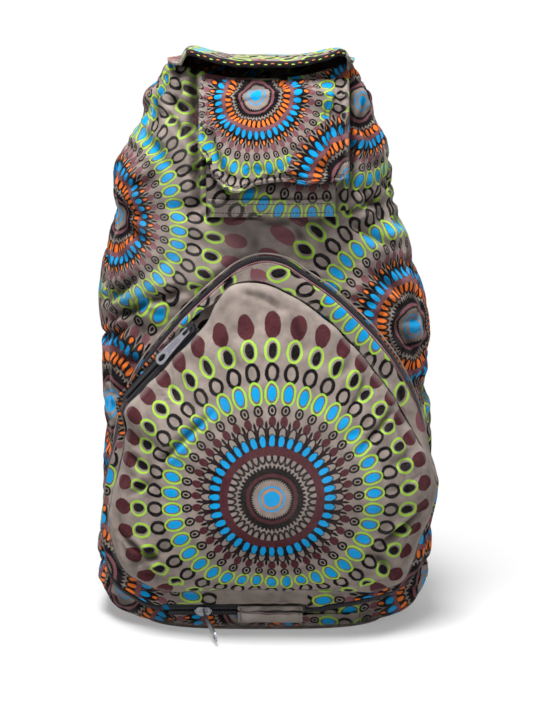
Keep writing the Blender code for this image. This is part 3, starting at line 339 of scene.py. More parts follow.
def set_map(piece, flat, wear=None, painted_shade=None):
    """The cloth's flat map in metres, how rubbed each point is, and how much painted shade it gets in creases
    and under the flap, from 0 to 1.
    """
    layer = piece.data.uv_layers.active or piece.data.uv_layers.new()
    layer.name = "cloth"
    corners = np.empty(len(piece.data.loops), dtype=np.int32)
    piece.data.loops.foreach_get("vertex_index", corners)
    layer.data.foreach_set("uv", np.ascontiguousarray(flat[corners], dtype=np.float32).ravel())
    for name, values in (("wear", wear), ("painted_shade", painted_shade)):
        layer = piece.data.attributes.new(name, "FLOAT", "POINT")
        values = np.zeros(len(flat)) if values is None else np.clip(values, 0, 1)
        layer.data.foreach_set("value", np.ascontiguousarray(values, dtype=np.float32))


def apply_modifiers(piece):
    """Applies all the modifiers of a piece, in their order."""
    bpy.ops.object.select_all(action="DESELECT")
    bpy.context.view_layer.objects.active = piece
    piece.select_set(True)
    for modifier in list(piece.modifiers):
        bpy.ops.object.modifier_apply(modifier=modifier.name)


def thicken(piece, thickness, offset=-1.0):
    """Gives a sheet its thickness, inwards unless offset says otherwise."""
    solid = piece.modifiers.new("cloth", "SOLIDIFY")
    solid.thickness = thickness
    solid.offset = offset
    apply_modifiers(piece)
    piece.data.shade_smooth()


def weld(piece, close=False):
    """Welds a rolled grid's seam, and closes its ends if asked."""
    mesh = bmesh.new()
    mesh.from_mesh(piece.data)
    bmesh.ops.remove_doubles(mesh, verts=mesh.verts, dist=1e-6)
    if close:
        bmesh.ops.holes_fill(mesh, edges=[edge for edge in mesh.edges if edge.is_boundary], sides=0)
        bmesh.ops.recalc_face_normals(mesh, faces=mesh.faces)
    mesh.to_mesh(piece.data)
    mesh.free()


def outwards(places, across, along):
    """The cloth's outward directions at a grid's places."""
    shaped = places.reshape(along + 1, across + 1, 3)
    right = np.gradient(shaped, axis=1)
    up = np.gradient(shaped, axis=0)
    out = np.cross(right, up)
    length = np.linalg.norm(out, axis=-1, keepdims=True)
    return (out / np.where(length == 0, 1, length)).reshape(-1, 3)


# Cloth settles for this many steps, and none of its points then moves farther than this
SETTLING_FRAMES = 16
WALL_MOVES = 0.0024
FLAP_MOVES = 0.0038
DOME_MOVES = 0.0035


def settled(shape, held, across, along, spare, pressure, most):
    """How stuffed cloth with a share of spare width moves as it settles, held where it is sewn.

    The moves are those of a grid's points, and none is longer than most.
    """
    piece, u, v = grid_piece(across, along)
    start = shape(u, v)
    moves = np.zeros(start.shape)
    set_places(piece, start)
    sewn = piece.vertex_groups.new(name="sewn")
    for index, weight in enumerate(held(u, v)):
        sewn.add([index], float(weight), "REPLACE")
    cloth = piece.modifiers.new("settling", "CLOTH")
    cloth.settings.quality = 5
    cloth.settings.mass = 0.1
    cloth.settings.tension_stiffness = 12
    cloth.settings.compression_stiffness = 12
    cloth.settings.shear_stiffness = 4
    cloth.settings.bending_stiffness = 0.15
    cloth.settings.vertex_group_mass = "sewn"
    cloth.settings.shrink_min = -spare
    cloth.settings.use_pressure = True
    cloth.settings.uniform_pressure_force = pressure
    cloth.settings.effector_weights.gravity = 0
    cloth.collision_settings.use_collision = False
    cloth.point_cache.frame_start = 1
    cloth.point_cache.frame_end = SETTLING_FRAMES
    for moment in range(1, SETTLING_FRAMES + 1):
        bpy.context.scene.frame_set(moment)
    apply_modifiers(piece)
    moves = places_of(piece) - start
    bpy.context.scene.frame_set(1)
    length = np.linalg.norm(moves, axis=1, keepdims=True)
    moves = moves * most * np.tanh(length / most) / np.maximum(length, 1e-9)
    bpy.data.objects.remove(piece)
    return moves.reshape(along + 1, across + 1, 3)


def four_weights(t):
    """How much each of the four nearest rows counts, for a smooth curve through them."""
    return np.stack([-t + 2 * t ** 2 - t ** 3, 2 - 5 * t ** 2 + 3 * t ** 3, t + 4 * t ** 2 - 3 * t ** 3,
                     -t ** 2 + t ** 3]) / 2


def spread(moves, u, v):
    """The moves of a coarse grid at the shares u and v of a finer one."""
    rows, columns = moves.shape[:2]
    x, y = u * (columns - 1), v * (rows - 1)
    i, j = np.minimum(x.astype(int), columns - 2), np.minimum(y.astype(int), rows - 2)
    across, along = four_weights(x - i), four_weights(y - j)
    total = 0
    for a in range(4):
        for b in range(4):
            near = moves[np.clip(j + b - 1, 0, rows - 1), np.clip(i + a - 1, 0, columns - 1)]
            total = total + (across[a] * along[b])[:, None] * near
    return total


def tube(name, points, radius, finish, body="bag", replaced=(), closed=False):
    """A round cord or wire along points."""
    path = bpy.data.curves.new(name, "CURVE")
    path.dimensions = "3D"
    path.bevel_depth = radius
    path.bevel_resolution = 2
    path.use_fill_caps = True
    spline = path.splines.new("POLY")
    spline.points.add(len(points) - 1)
    spline.use_cyclic_u = closed
    for point, place in zip(spline.points, points):
        point.co = (*place, 1)
    drawn = bpy.data.objects.new(name, path)
    bpy.context.scene.collection.objects.link(drawn)
    bpy.ops.object.select_all(action="DESELECT")
    bpy.context.view_layer.objects.active = drawn
    drawn.select_set(True)
    bpy.ops.object.convert(target="MESH")
    weld(drawn)
    drawn.data.shade_smooth()
    return finish_piece(drawn, name, finish, body, replaced)


def along_line(points, pitch):
    """Places spaced evenly along a line of points, with the direction of travel there."""
    steps = np.linalg.norm(np.diff(points, axis=0), axis=1)
    run = np.concatenate([[0], np.cumsum(steps)])
    marks = np.arange(pitch / 2, run[-1], pitch)
    at, ahead, behind = (np.stack([np.interp(marks + shift, run, column) for column in points.T], axis=-1)
                         for shift in (0, pitch * 0.4, -pitch * 0.4))
    way = ahead - behind
    return at, way / np.linalg.norm(way, axis=1)[:, None]


def row_of_blocks(name, at, way, facing, size, finish, replaced=()):
    """A row of small blocks with cut edges, such as coil turns. size is along, across and high."""
    bpy.ops.object.select_all(action="DESELECT")
    bpy.ops.mesh.primitive_cube_add(size=1)
    block = bpy.context.object
    edges = block.modifiers.new("edges", "BEVEL")
    edges.width = 0.22
    edges.segments = 1
    apply_modifiers(block)
    corners = places_of(block)
    faces = [list(face.vertices) for face in block.data.polygons]
    bpy.data.objects.remove(block)
    side = np.cross(facing, way)
    side /= np.linalg.norm(side, axis=1)[:, None]
    facing = np.cross(way, side)
    local = corners * np.array(size)
    places = (at[:, None] + local[None, :, 0:1] * way[:, None] + local[None, :, 1:2] * side[:, None]
              + local[None, :, 2:3] * facing[:, None])
    every = [[index + len(corners) * turn for index in face] for turn in range(len(at)) for face in faces]
    mesh = bpy.data.meshes.new(name)
    mesh.from_pydata(places.reshape(-1, 3).tolist(), [], every)
    piece = bpy.data.objects.new(name, mesh)
    bpy.context.scene.collection.objects.link(piece)
    return finish_piece(piece, name, finish, replaced=replaced)


STITCH_PITCH = 2.9 * MM
STITCH = (2.1 * MM, 0.6 * MM, 0.5 * MM)


def stitches(name, line, facing, finish=None):
    """A row of lockstitches along a line of points, on cloth that faces facing."""
    at, way = along_line(line, STITCH_PITCH)
    if len(facing) == len(line):
        run = np.linspace(0, 1, len(line))
        wanted = np.linspace(0, 1, len(at))
        facing = np.stack([np.interp(wanted, run, column) for column in np.asarray(facing).T], axis=-1)
    else:
        facing = np.tile(facing, (len(at), 1))
    return row_of_blocks(name, at, way, facing, STITCH, finish or DARK_THREAD)


# Materials
def colour(hexed):
    """An sRGB hex colour as Blender's linear one."""
    parts = [int(hexed[i:i + 2], 16) / 255 for i in (0, 2, 4)]
    return (*[c / 12.92 if c <= 0.04045 else ((c + 0.055) / 1.055) ** 2.4 for c in parts], 1.0)


def add_node(tree, kind, inputs=(), **settings):
    """Adds a node with its settings. Inputs are (socket, value or another node's output)."""
    node = tree.nodes.new(kind)
    for name, value in settings.items():
        setattr(node, name, value)
    for socket, value in inputs:
        if isinstance(value, bpy.types.NodeSocket):
            tree.links.new(value, node.inputs[socket])
        else:
            node.inputs[socket].default_value = value
    return node


def number(tree, operation, *values):
    """The result of a calculation with values, in a material."""
    return add_node(tree, "ShaderNodeMath", list(enumerate(values)), operation=operation).outputs[0]


def blend(tree, share, first, second):
    """first where share is 0 and second where it is 1, as colours."""
    node = add_node(tree, "ShaderNodeMix", [(0, share), (6, first), (7, second)], data_type="RGBA")
    return node.outputs[2]


def ramp(tree, value, low, high, start=0.0, end=1.0):
    """start where value is low, end where it is high, and evenly between."""
    steps = [("Value", value), ("From Min", low), ("From Max", high), ("To Min", start), ("To Max", end)]
    return add_node(tree, "ShaderNodeMapRange", steps).outputs[0]


def new_material(name, base, roughness, metallic=0.0):
    """A material, its node tree and its shader."""
    made = bpy.data.materials.new(name)
    made.use_nodes = True
    shader = made.node_tree.nodes["Principled BSDF"]
    shader.inputs["Base Color"].default_value = colour(base)
    shader.inputs["Roughness"].default_value = roughness
    shader.inputs["Metallic"].default_value = metallic
    return made, made.node_tree, shader


# Colours of the print
GREIGE = "9C8F87"
GREIGE_DARK = "7E736C"
FADED = "D6CCC4"
BLACK_INK = "141114"
MAROON = "4E262C"
ROSE = "7C5056"
MAUVE = "6E5A66"
BLUE = "0E9CDC"
LIME = "A3D043"
ORANGE = "F27A30"
TAN = "C08A60"

SPOKES = 40
PRINT_UNIT = 0.82 * MM


def within(tree, value, edge, soft=0.35):
    """1 where value is under edge, 0 where it is over, with a soft step."""
    return ramp(tree, value, edge + soft, edge - soft)


def moved(tree, place, size, amount):
    """The place, shaken by up to half of amount either way, by noise with features of size."""
    noise = add_node(tree, "ShaderNodeTexNoise", [("Vector", place), ("Scale", 1 / size), ("Detail", 1.0)])
    centred = add_node(tree, "ShaderNodeVectorMath", [(0, noise.outputs["Color"]), (1, (0.5, 0.5, 0.5))],
                       operation="SUBTRACT")
    scaled = add_node(tree, "ShaderNodeVectorMath", [(0, centred.outputs[0]), ("Scale", amount)],
                      operation="SCALE")
    shaken = add_node(tree, "ShaderNodeVectorMath", [(0, place), (1, scaled.outputs[0])], operation="ADD")
    return shaken.outputs[0]


def reach_of(tree, a, b):
    """How far a place is whose two sides are a and b."""
    squared = number(tree, "ADD", number(tree, "MULTIPLY", a, a), number(tree, "MULTIPLY", b, b))
    return number(tree, "SQRT", squared)


def ring_print(name, layers):
    """A group that draws one round of the print, from the place seen from its centre, in units."""
    tree = bpy.data.node_groups.new(name, "ShaderNodeTree")
    tree.interface.new_socket("Place", in_out="INPUT", socket_type="NodeSocketVector")
    tree.interface.new_socket("Ground", in_out="INPUT", socket_type="NodeSocketColor")
    tree.interface.new_socket("Colour", in_out="OUTPUT", socket_type="NodeSocketColor")
    source = add_node(tree, "NodeGroupInput")
    # The hand-cut block's uneven shapes, then the rough edges that the ink has on canvas
    uneven = moved(tree, source.outputs[0], 14.0, 2.4)
    rough = moved(tree, uneven, 1.6, 0.8)
    split = add_node(tree, "ShaderNodeSeparateXYZ", [(0, rough)])
    x, z = split.outputs[0], split.outputs[1]
    radius = reach_of(tree, x, z)
    turn = number(tree, "ARCTAN2", z, x)
    asides = {}

    def aside(count, shift):
        """Sideways distance from the nearest of count spokes, shifted by a share of their spacing."""
        if (count, shift) not in asides:
            share = number(tree, "ADD", number(tree, "MULTIPLY", turn, count / (2 * math.pi)), 1000.5 + shift)
            off = number(tree, "SUBTRACT", number(tree, "FRACT", share), 0.5)
            turned = number(tree, "MULTIPLY", off, 2 * math.pi / count)
            asides[count, shift] = number(tree, "MULTIPLY", turned, radius)
        return asides[count, shift]

    drawn = source.outputs[1]
    for layer in layers:
        if layer[0] == "ring":
            _, inner, outer, ink = layer
            part = within(tree, radius, outer)
            if inner > 0:
                outside = number(tree, "SUBTRACT", 1.0, within(tree, radius, inner))
                part = number(tree, "MULTIPLY", part, outside)
        else:
            _, count, shift, middle, tall, wide, ink = layer
            up = number(tree, "DIVIDE", number(tree, "SUBTRACT", radius, middle), tall)
            over = number(tree, "DIVIDE", aside(count, shift), wide)
            part = within(tree, reach_of(tree, up, over), 1.0, 0.3 / min(tall, wide))
        shade = source.outputs[1] if ink is None else colour(ink)
        drawn = blend(tree, part, drawn, shade)
    end = add_node(tree, "NodeGroupOutput")
    tree.links.new(drawn, end.inputs[0])
    return tree


def rounds(dark, petal, drop, core, ring_start, gap, gap_end, drop_place, drop_tall):
    """The layers of one round, from the outside in, in units of 0.82 mm. None is the cloth's ground.

    An oval has its count, shift, distance from the centre, half height along the spoke, half width and ink.
    """
    return [
        ("oval", SPOKES, 0, 163.2, 13.3, 8.1, dark),
        ("oval", SPOKES, 0, 139.4, 11.4, 7.9, LIME),
        ("oval", SPOKES, 0, 139.4, 9.0, 5.6, None),
        ("oval", SPOKES, 0.025, 139.0, 7.4, 4.1, BLACK_INK),
        ("oval", SPOKES, 0, 118.3, 9.9, 7.3, BLACK_INK),
        ("oval", SPOKES, 0, 118.3, 6.3, 3.8, None),
        ("oval", SPOKES, 0, 99.0, 11.6, 6.9, LIME),
        ("oval", SPOKES, 0, 99.0, 9.5, 4.9, MAUVE),
        ("oval", SPOKES, 0, 99.0, 7.2, 3.9, BLUE),
        ("oval", SPOKES, 0, 83.0, 5.6, 4.3, BLACK_INK),
        ("oval", SPOKES, 0, 83.0, 3.5, 2.3, None),
        ("oval", SPOKES, 0, 83.0, 2.2, 1.3, BLACK_INK),
        ("oval", SPOKES, 0, 72.8, 5.2, 3.6, dark),
        ("oval", SPOKES, 0.5, 69.0, 4.4, 1.3, BLACK_INK),
        ("ring", 41.5, gap_end, gap),
        ("oval", SPOKES, 0, 59.0, 10.2, 4.7, BLACK_INK),
        ("oval", SPOKES, 0, drop_place, drop_tall, drop_tall / 2.1, drop),
        ("oval", SPOKES, 0, 54.0, 7.0, 3.6, BLACK_INK),
        ("oval", SPOKES, 0, 54.3, 5.6, 2.7, BLUE),
        ("ring", 29.0, 46.0, None),
        ("oval", SPOKES, 0.5, 41.5, 8.8, 3.6, BLACK_INK),
        ("oval", SPOKES, 0.5, 41.0, 5.6, 1.9, petal),
        ("ring", ring_start, 49.6, dark),
        ("ring", 0.0, 29.3, BLACK_INK),
        ("oval", 50, 0, 29.4, 2.6, 1.3, BLACK_INK),
        ("ring", 21.0, 24.2, dark),
        ("ring", 0.0, 17.2, None),
        ("oval", 50, 0, 17.2, 1.6, 0.8, None),
        ("ring", 10.8, 12.3, BLUE),
        ("ring", 8.2, 9.3, core),
        ("ring", 0.0, 7.5, BLUE),
    ]


LARGE_ROUND = ring_print("large round", rounds(MAROON, None, None, TAN, 41.5, "2E181C", 66.5, 61.5, 5.8))
SMALL_ROUND = ring_print("small round", rounds(ROSE, ORANGE, ORANGE, None, 44.5, ROSE, 56.0, 65.0, 2.9))

def printed_cotton(name, centres, group):
    """Cotton canvas, block printed and then stonewashed: matt, faded unevenly and paler where it rubs.

    A centre has its place on the cloth's map, the size of its round, and whether it lies over the others.
    """
    made, tree, shader = new_material(name, GREIGE, 0.9)
    cloth = add_node(tree, "ShaderNodeUVMap", uv_map="cloth").outputs[0]
    worn = add_node(tree, "ShaderNodeAttribute", attribute_name="wear").outputs["Fac"]
    painted_shade_share = add_node(tree, "ShaderNodeAttribute", attribute_name="painted_shade").outputs["Fac"]
    # Stonewashing leaves clouds about 12 mm across and flecks about 2 mm across
    clouds = add_node(tree, "ShaderNodeTexNoise", [("Vector", cloth), ("Scale", 85.0), ("Detail", 4.0)])
    flecks = add_node(tree, "ShaderNodeTexNoise", [("Vector", cloth), ("Scale", 520.0), ("Detail", 2.0)])
    clouds, flecks = clouds.outputs[0], flecks.outputs[0]
    ground = blend(tree, ramp(tree, clouds, 0.35, 0.7), colour(GREIGE), colour(GREIGE_DARK))
    place, nearest = None, None
    for x, z, size, over in centres:
        apart = add_node(tree, "ShaderNodeVectorMath", [(0, cloth), (1, (x, z, 0.0))], operation="SUBTRACT")
        in_units = [(0, apart.outputs[0]), ("Scale", 1 / (PRINT_UNIT * size))]
        away = add_node(tree, "ShaderNodeVectorMath", in_units, operation="SCALE").outputs[0]
        length = add_node(tree, "ShaderNodeVectorMath", [(0, away)], operation="LENGTH").outputs["Value"]
        if place is None:
            place, nearest = away, length
            continue
        closer = number(tree, "LESS_THAN", length, over or nearest)
        both = [(0, closer), (4, place), (5, away)]
        place = add_node(tree, "ShaderNodeMix", both, data_type="VECTOR").outputs[1]
        nearest = number(tree, "MINIMUM", nearest, length)
    rounds_drawn = add_node(tree, "ShaderNodeGroup", [(0, place), (1, ground)], node_tree=group)
    drawn = rounds_drawn.outputs[0]
    faded = blend(tree, ramp(tree, flecks, 0.42, 0.75, 0.0, 0.022), drawn, colour(FADED))
    faded = blend(tree, ramp(tree, clouds, 0.5, 0.8, 0.0, 0.025), faded, colour(FADED))
    rubbed = blend(tree, number(tree, "MULTIPLY", worn, 0.28), faded, colour(FADED))
    # Painted shade: the colour is darkened towards near-black by the attribute of painted shade, in creases,
    # crumple valleys and under the flap's edge
    deep = blend(tree, number(tree, "MULTIPLY", painted_shade_share, 0.72), rubbed, colour("171416"))
    tree.links.new(deep, shader.inputs["Base Color"])
    shader.inputs["Specular IOR Level"].default_value = 0.05
    # The canvas has threads about 0.5 mm apart, drawn 1.1 mm apart so that they show
    split = add_node(tree, "ShaderNodeSeparateXYZ", [(0, cloth)])
    warp = number(tree, "SINE", number(tree, "MULTIPLY", split.outputs[0], 2 * math.pi / (1.1 * MM)))
    weft = number(tree, "SINE", number(tree, "MULTIPLY", split.outputs[1], 2 * math.pi / (1.1 * MM)))
    weave = number(tree, "MULTIPLY", warp, weft)
    fibres = number(tree, "ADD", number(tree, "MULTIPLY", weave, 0.5), flecks)
    bump = add_node(tree, "ShaderNodeBump", [("Height", fibres), ("Strength", 0.35), ("Distance", 0.25 * MM)])
    tree.links.new(bump.outputs[0], shader.inputs["Normal"])
    return made


def plain_cotton(name, base, paler):
    """Plain cotton, stonewashed: matt, in two close tones."""
    made, tree, shader = new_material(name, base, 0.9)
    place = add_node(tree, "ShaderNodeTexCoord").outputs["Object"]
    clouds = add_node(tree, "ShaderNodeTexNoise", [("Vector", place), ("Scale", 110.0), ("Detail", 4.0)])
    mottled = blend(tree, ramp(tree, clouds.outputs[0], 0.35, 0.7), colour(base), colour(paler))
    tree.links.new(mottled, shader.inputs["Base Color"])
    grain = add_node(tree, "ShaderNodeTexNoise", [("Vector", place), ("Scale", 1400.0)]).outputs[0]
    bump = add_node(tree, "ShaderNodeBump", [("Height", grain), ("Strength", 0.4), ("Distance", 0.2 * MM)])
    tree.links.new(bump.outputs[0], shader.inputs["Normal"])
    shader.inputs["Specular IOR Level"].default_value = 0.15
    return made


def webbing_cotton():
    """Black cotton webbing: ribs about 1.6 mm apart across it, a little dusty."""
    made, tree, shader = new_material("black cotton webbing", "231F1D", 0.85)
    cloth = add_node(tree, "ShaderNodeUVMap", uv_map="cloth").outputs[0]
    split = add_node(tree, "ShaderNodeSeparateXYZ", [(0, cloth)])
    ribs = number(tree, "SINE", number(tree, "MULTIPLY", split.outputs[0], 2 * math.pi / (1.6 * MM)))
    picks = number(tree, "SINE", number(tree, "MULTIPLY", split.outputs[1], 2 * math.pi / (1.2 * MM)))
    woven = number(tree, "ADD", number(tree, "MULTIPLY", ribs, 0.5), number(tree, "MULTIPLY", picks, 0.25))
    dust = add_node(tree, "ShaderNodeTexNoise", [("Vector", cloth), ("Scale", 140.0), ("Detail", 3.0)])
    dusty = number(tree, "MULTIPLY", dust.outputs[0], 0.3)
    tree.links.new(blend(tree, dusty, colour("1E1B19"), colour("453F3B")), shader.inputs["Base Color"])
    bump = add_node(tree, "ShaderNodeBump", [("Height", woven), ("Strength", 0.6), ("Distance", 0.3 * MM)])
    tree.links.new(bump.outputs[0], shader.inputs["Normal"])
    return made


def coil_nylon(name, base, paler, roughness):
    """Nylon drawn and wound into a coil, or woven into tape, or spun into thread."""
    made, tree, shader = new_material(name, base, roughness)
    place = add_node(tree, "ShaderNodeTexCoord").outputs["Object"]
    grain = add_node(tree, "ShaderNodeTexNoise", [("Vector", place), ("Scale", 900.0), ("Detail", 2.0)])
    grain = grain.outputs[0]
    tree.links.new(ramp(tree, grain, 0.0, 1.0, roughness - 0.1, roughness + 0.12), shader.inputs["Roughness"])
    tree.links.new(blend(tree, grain, colour(base), colour(paler)), shader.inputs["Base Color"])
    bump = add_node(tree, "ShaderNodeBump", [("Height", grain), ("Strength", 0.3), ("Distance", 0.15 * MM)])
    tree.links.new(bump.outputs[0], shader.inputs["Normal"])
    return made


def plated_zinc(name, base, roughness, metallic=1.0):
    """Zinc die casting under a thin plating: bright, with soft scratches from use."""
    made, tree, shader = new_material(name, base, roughness, metallic)
    place = add_node(tree, "ShaderNodeTexCoord").outputs["Object"]
    stretched = add_node(tree, "ShaderNodeMapping", [("Vector", place), ("Scale", (900.0, 900.0, 160.0))])
    scratches = add_node(tree, "ShaderNodeTexNoise", [("Vector", stretched.outputs[0]), ("Detail", 3.0)])
    scratches = scratches.outputs[0]
    worn = ramp(tree, scratches, 0.0, 1.0, roughness - 0.08, roughness + 0.15)
    tree.links.new(worn, shader.inputs["Roughness"])
    relief = [("Height", scratches), ("Strength", 0.15), ("Distance", 0.05 * MM)]
    bump = add_node(tree, "ShaderNodeBump", relief)
    tree.links.new(bump.outputs[0], shader.inputs["Normal"])
    return made


def moulded_acetal():
    """Acetal from a spark-eroded mould: black, slightly rough, with a waxy shine."""
    made, tree, shader = new_material("moulded acetal", "1C1B1C", 0.42)
    place = add_node(tree, "ShaderNodeTexCoord").outputs["Object"]
    grain = add_node(tree, "ShaderNodeTexNoise", [("Vector", place), ("Scale", 2200.0)]).outputs[0]
    bump = add_node(tree, "ShaderNodeBump", [("Height", grain), ("Strength", 0.25), ("Distance", 0.08 * MM)])
    tree.links.new(bump.outputs[0], shader.inputs["Normal"])
    return made


# Where the print's rounds lie: place on the cloth's map, size, and over for one that lies over the others
BODY_ROUNDS = [
    (-0.1271, 0.3390, 0.84, None), (0.1279, 0.2483, 0.98, None), (0.0881, 0.4295, 0.76, None),
    (-0.1403, 0.1823, 1.20, None), (0.1510, 0.0284, 1.00, None), (-0.1480, 0.4700, 0.85, None),
    (-0.3300, 0.3000, 1.00, None), (0.3400, 0.3300, 1.00, None), (-0.3500, 0.0800, 1.00, None),
    (0.3500, 0.1000, 1.00, None), (-0.1180, 0.0300, 0.90, None),
]
FLAP_ROUNDS = [(-0.0068, 0.4350, 0.68, None), (0.0665, 0.3700, 0.87, 72.0)]
POCKET_ROUNDS = [(0.0360, 0.4280, 1.05, None)]
GUSSET_ROUNDS = [
    (-0.0660, 0.1800, 1.00, None), (0.1280, 0.3150, 1.05, None), (0.1275, 0.0284, 1.00, 115.0),
    (-0.1420, 0.0450, 1.00, 125.0),
]
STRIP_ROUNDS = [(-0.0190, 0.0180, 0.87, None)]
LID_ROUNDS = [(0.0700, 0.0590, 1.00, None), (-0.1300, -0.0100, 1.00, None)]
STRAP_ROUNDS = [(0.02, 0.40, 1.0, None), (-0.03, 0.20, 1.0, None)]
PANEL_ROUNDS = [(0.0, 0.0, 1.0, None)]

PANEL_COTTON = printed_cotton("printed cotton of the front pocket", PANEL_ROUNDS, LARGE_ROUND)
BODY_COTTON = printed_cotton("printed cotton of the body", BODY_ROUNDS, SMALL_ROUND)
FLAP_COTTON = printed_cotton("printed cotton of the flap", FLAP_ROUNDS, SMALL_ROUND)
POCKET_COTTON = printed_cotton("printed cotton of the small pocket", POCKET_ROUNDS, SMALL_ROUND)
GUSSET_COTTON = printed_cotton("printed cotton of the gusset", GUSSET_ROUNDS, SMALL_ROUND)
STRIP_COTTON = printed_cotton("printed cotton of the base strip", STRIP_ROUNDS, SMALL_ROUND)
LID_COTTON = printed_cotton("printed cotton of the lid", LID_ROUNDS, SMALL_ROUND)
STRAP_COTTON = printed_cotton("printed cotton of the straps", STRAP_ROUNDS, SMALL_ROUND)
WASHED_COTTON = plain_cotton("plain stonewashed cotton", "877C75", "A79B93")
PALE_COTTON = plain_cotton("paler stonewashed cotton", "B0A49B", "C7BBB2")
DARK_COTTON = plain_cotton("dark bias binding", "221E20", "3A3436")
ROSE_COTTON = plain_cotton("faded rose cotton piping", "7A5359", "A08083")
WEBBING = webbing_cotton()
TAPE = coil_nylon("woven nylon tape", "0F0E11", "1C1B1E", 0.85)
# Painted highlight: the coil's colours are lighter than the tape's black nylon, to show glints on its turns
COIL = coil_nylon("black nylon coil", "1D1B1F", "47444A", 0.42)
DARK_THREAD = coil_nylon("dark spun thread", "2A2527", "4A4244", 0.75)
ORANGE_THREAD = coil_nylon("orange spun thread", "C8652E", "E08A4E", 0.75)
LIME_THREAD = coil_nylon("lime spun thread", "9CC043", "BDD970", 0.75)
GUNMETAL = plated_zinc("gunmetal plated zinc", "3E3E42", 0.36)
NICKEL = plated_zinc("nickel plated zinc", "9C9CA2", 0.28)
SATIN_GREY = plated_zinc("satin grey plated zinc", "75747F", 0.55, 0.2)
ACETAL = moulded_acetal()


# Body
BODY_FOLDS = [
    (-0.0580, 0.4560, -0.0575, 0.4013, 0.0035, 0.0075), (-0.0575, 0.4013, -0.0530, 0.3460, 0.0030, 0.0065),
    (-0.0620, 0.4440, -0.0780, 0.4250, 0.0035, 0.0030), (-0.1333, 0.2362, -0.1092, 0.2525, 0.0035, 0.0040),
    (0.0628, 0.3411, 0.0905, 0.3531, 0.0035, 0.0035), (0.0905, 0.3531, 0.1130, 0.3411, 0.0035, 0.0030),
    (-0.0766, 0.4340, -0.0557, 0.4090, 0.0035, 0.0040), (-0.0736, 0.4170, -0.0628, 0.4010, 0.0035, 0.0035),
    (-0.1290, 0.2687, -0.1017, 0.2920, 0.0040, 0.0045), (-0.1268, 0.2557, -0.0876, 0.2743, 0.0040, 0.0050),
    (-0.0876, 0.2743, -0.0644, 0.2823, 0.0040, 0.0040), (-0.1249, 0.2241, -0.1049, 0.2225, 0.0040, 0.0040),
    (-0.1240, 0.3300, -0.0900, 0.3180, 0.0045, 0.0030), (-0.1150, 0.3600, -0.0850, 0.3700, 0.0045, 0.0030),
    (-0.1000, 0.4050, -0.0750, 0.3800, 0.0045, 0.0030), (-0.0850, 0.4500, -0.0980, 0.4000, 0.0050, 0.0035),
    (0.0700, 0.4550, 0.0680, 0.3450, 0.0035, 0.0050), (0.0690, 0.4200, 0.0900, 0.3950, 0.0040, 0.0040),
    (0.0720, 0.3650, 0.0960, 0.3400, 0.0045, 0.0040), (0.0750, 0.3300, 0.1080, 0.3120, 0.0045, 0.0040),
    (0.0850, 0.2950, 0.1200, 0.2700, 0.0045, 0.0040), (0.1050, 0.2500, 0.1300, 0.2250, 0.0045, 0.0040),
    (0.1200, 0.2150, 0.1340, 0.1850, 0.0040, 0.0035), (-0.0150, 0.3330, -0.0050, 0.3120, 0.0035, 0.0025),
    (0.0200, 0.3350, 0.0320, 0.3180, 0.0035, 0.0025),
]
BODY_LOW = BASE_THICKNESS + SEAT


def wall_shape(first, last):
    """The even shape of a wall between two angles, as a function of the place on it."""
    def shape(u, v):
        """A point of the wall for shares across it and up it."""
        angle = first + u * (last - first)
        return body_point(angle, BODY_LOW + v * (mouth_height(angle) - BODY_LOW))
    return shape


ARCH = closed_curve(ZIP_PATH)


def arch_share(x, z):
    """How far out a point is from the dome's centre, where 1 is on the outer zip."""
    line = by_angle(ARCH, np.arctan2(z - DOME_CENTRE[1], x - DOME_CENTRE[0]))
    reach = np.hypot(line[:, 0] - DOME_CENTRE[0], line[:, 1] - DOME_CENTRE[1])
    return np.hypot(x - DOME_CENTRE[0], z - DOME_CENTRE[1]) / reach


def under_others(x, z, front):
    """1 where a wall lies behind the front pocket, its zip or the small pocket, and so can't rise."""
    pocket = np.clip((1.06 - arch_share(x, z)) / 0.05, 0, 1)
    wide = (x > SMALL_POCKET_LEFT - 0.002) & (x < SMALL_POCKET_RIGHT + 0.002)
    small = wide & (z > SMALL_POCKET_BOTTOM - 0.002)
    return np.where(front, np.maximum(pocket, small), 0.0)


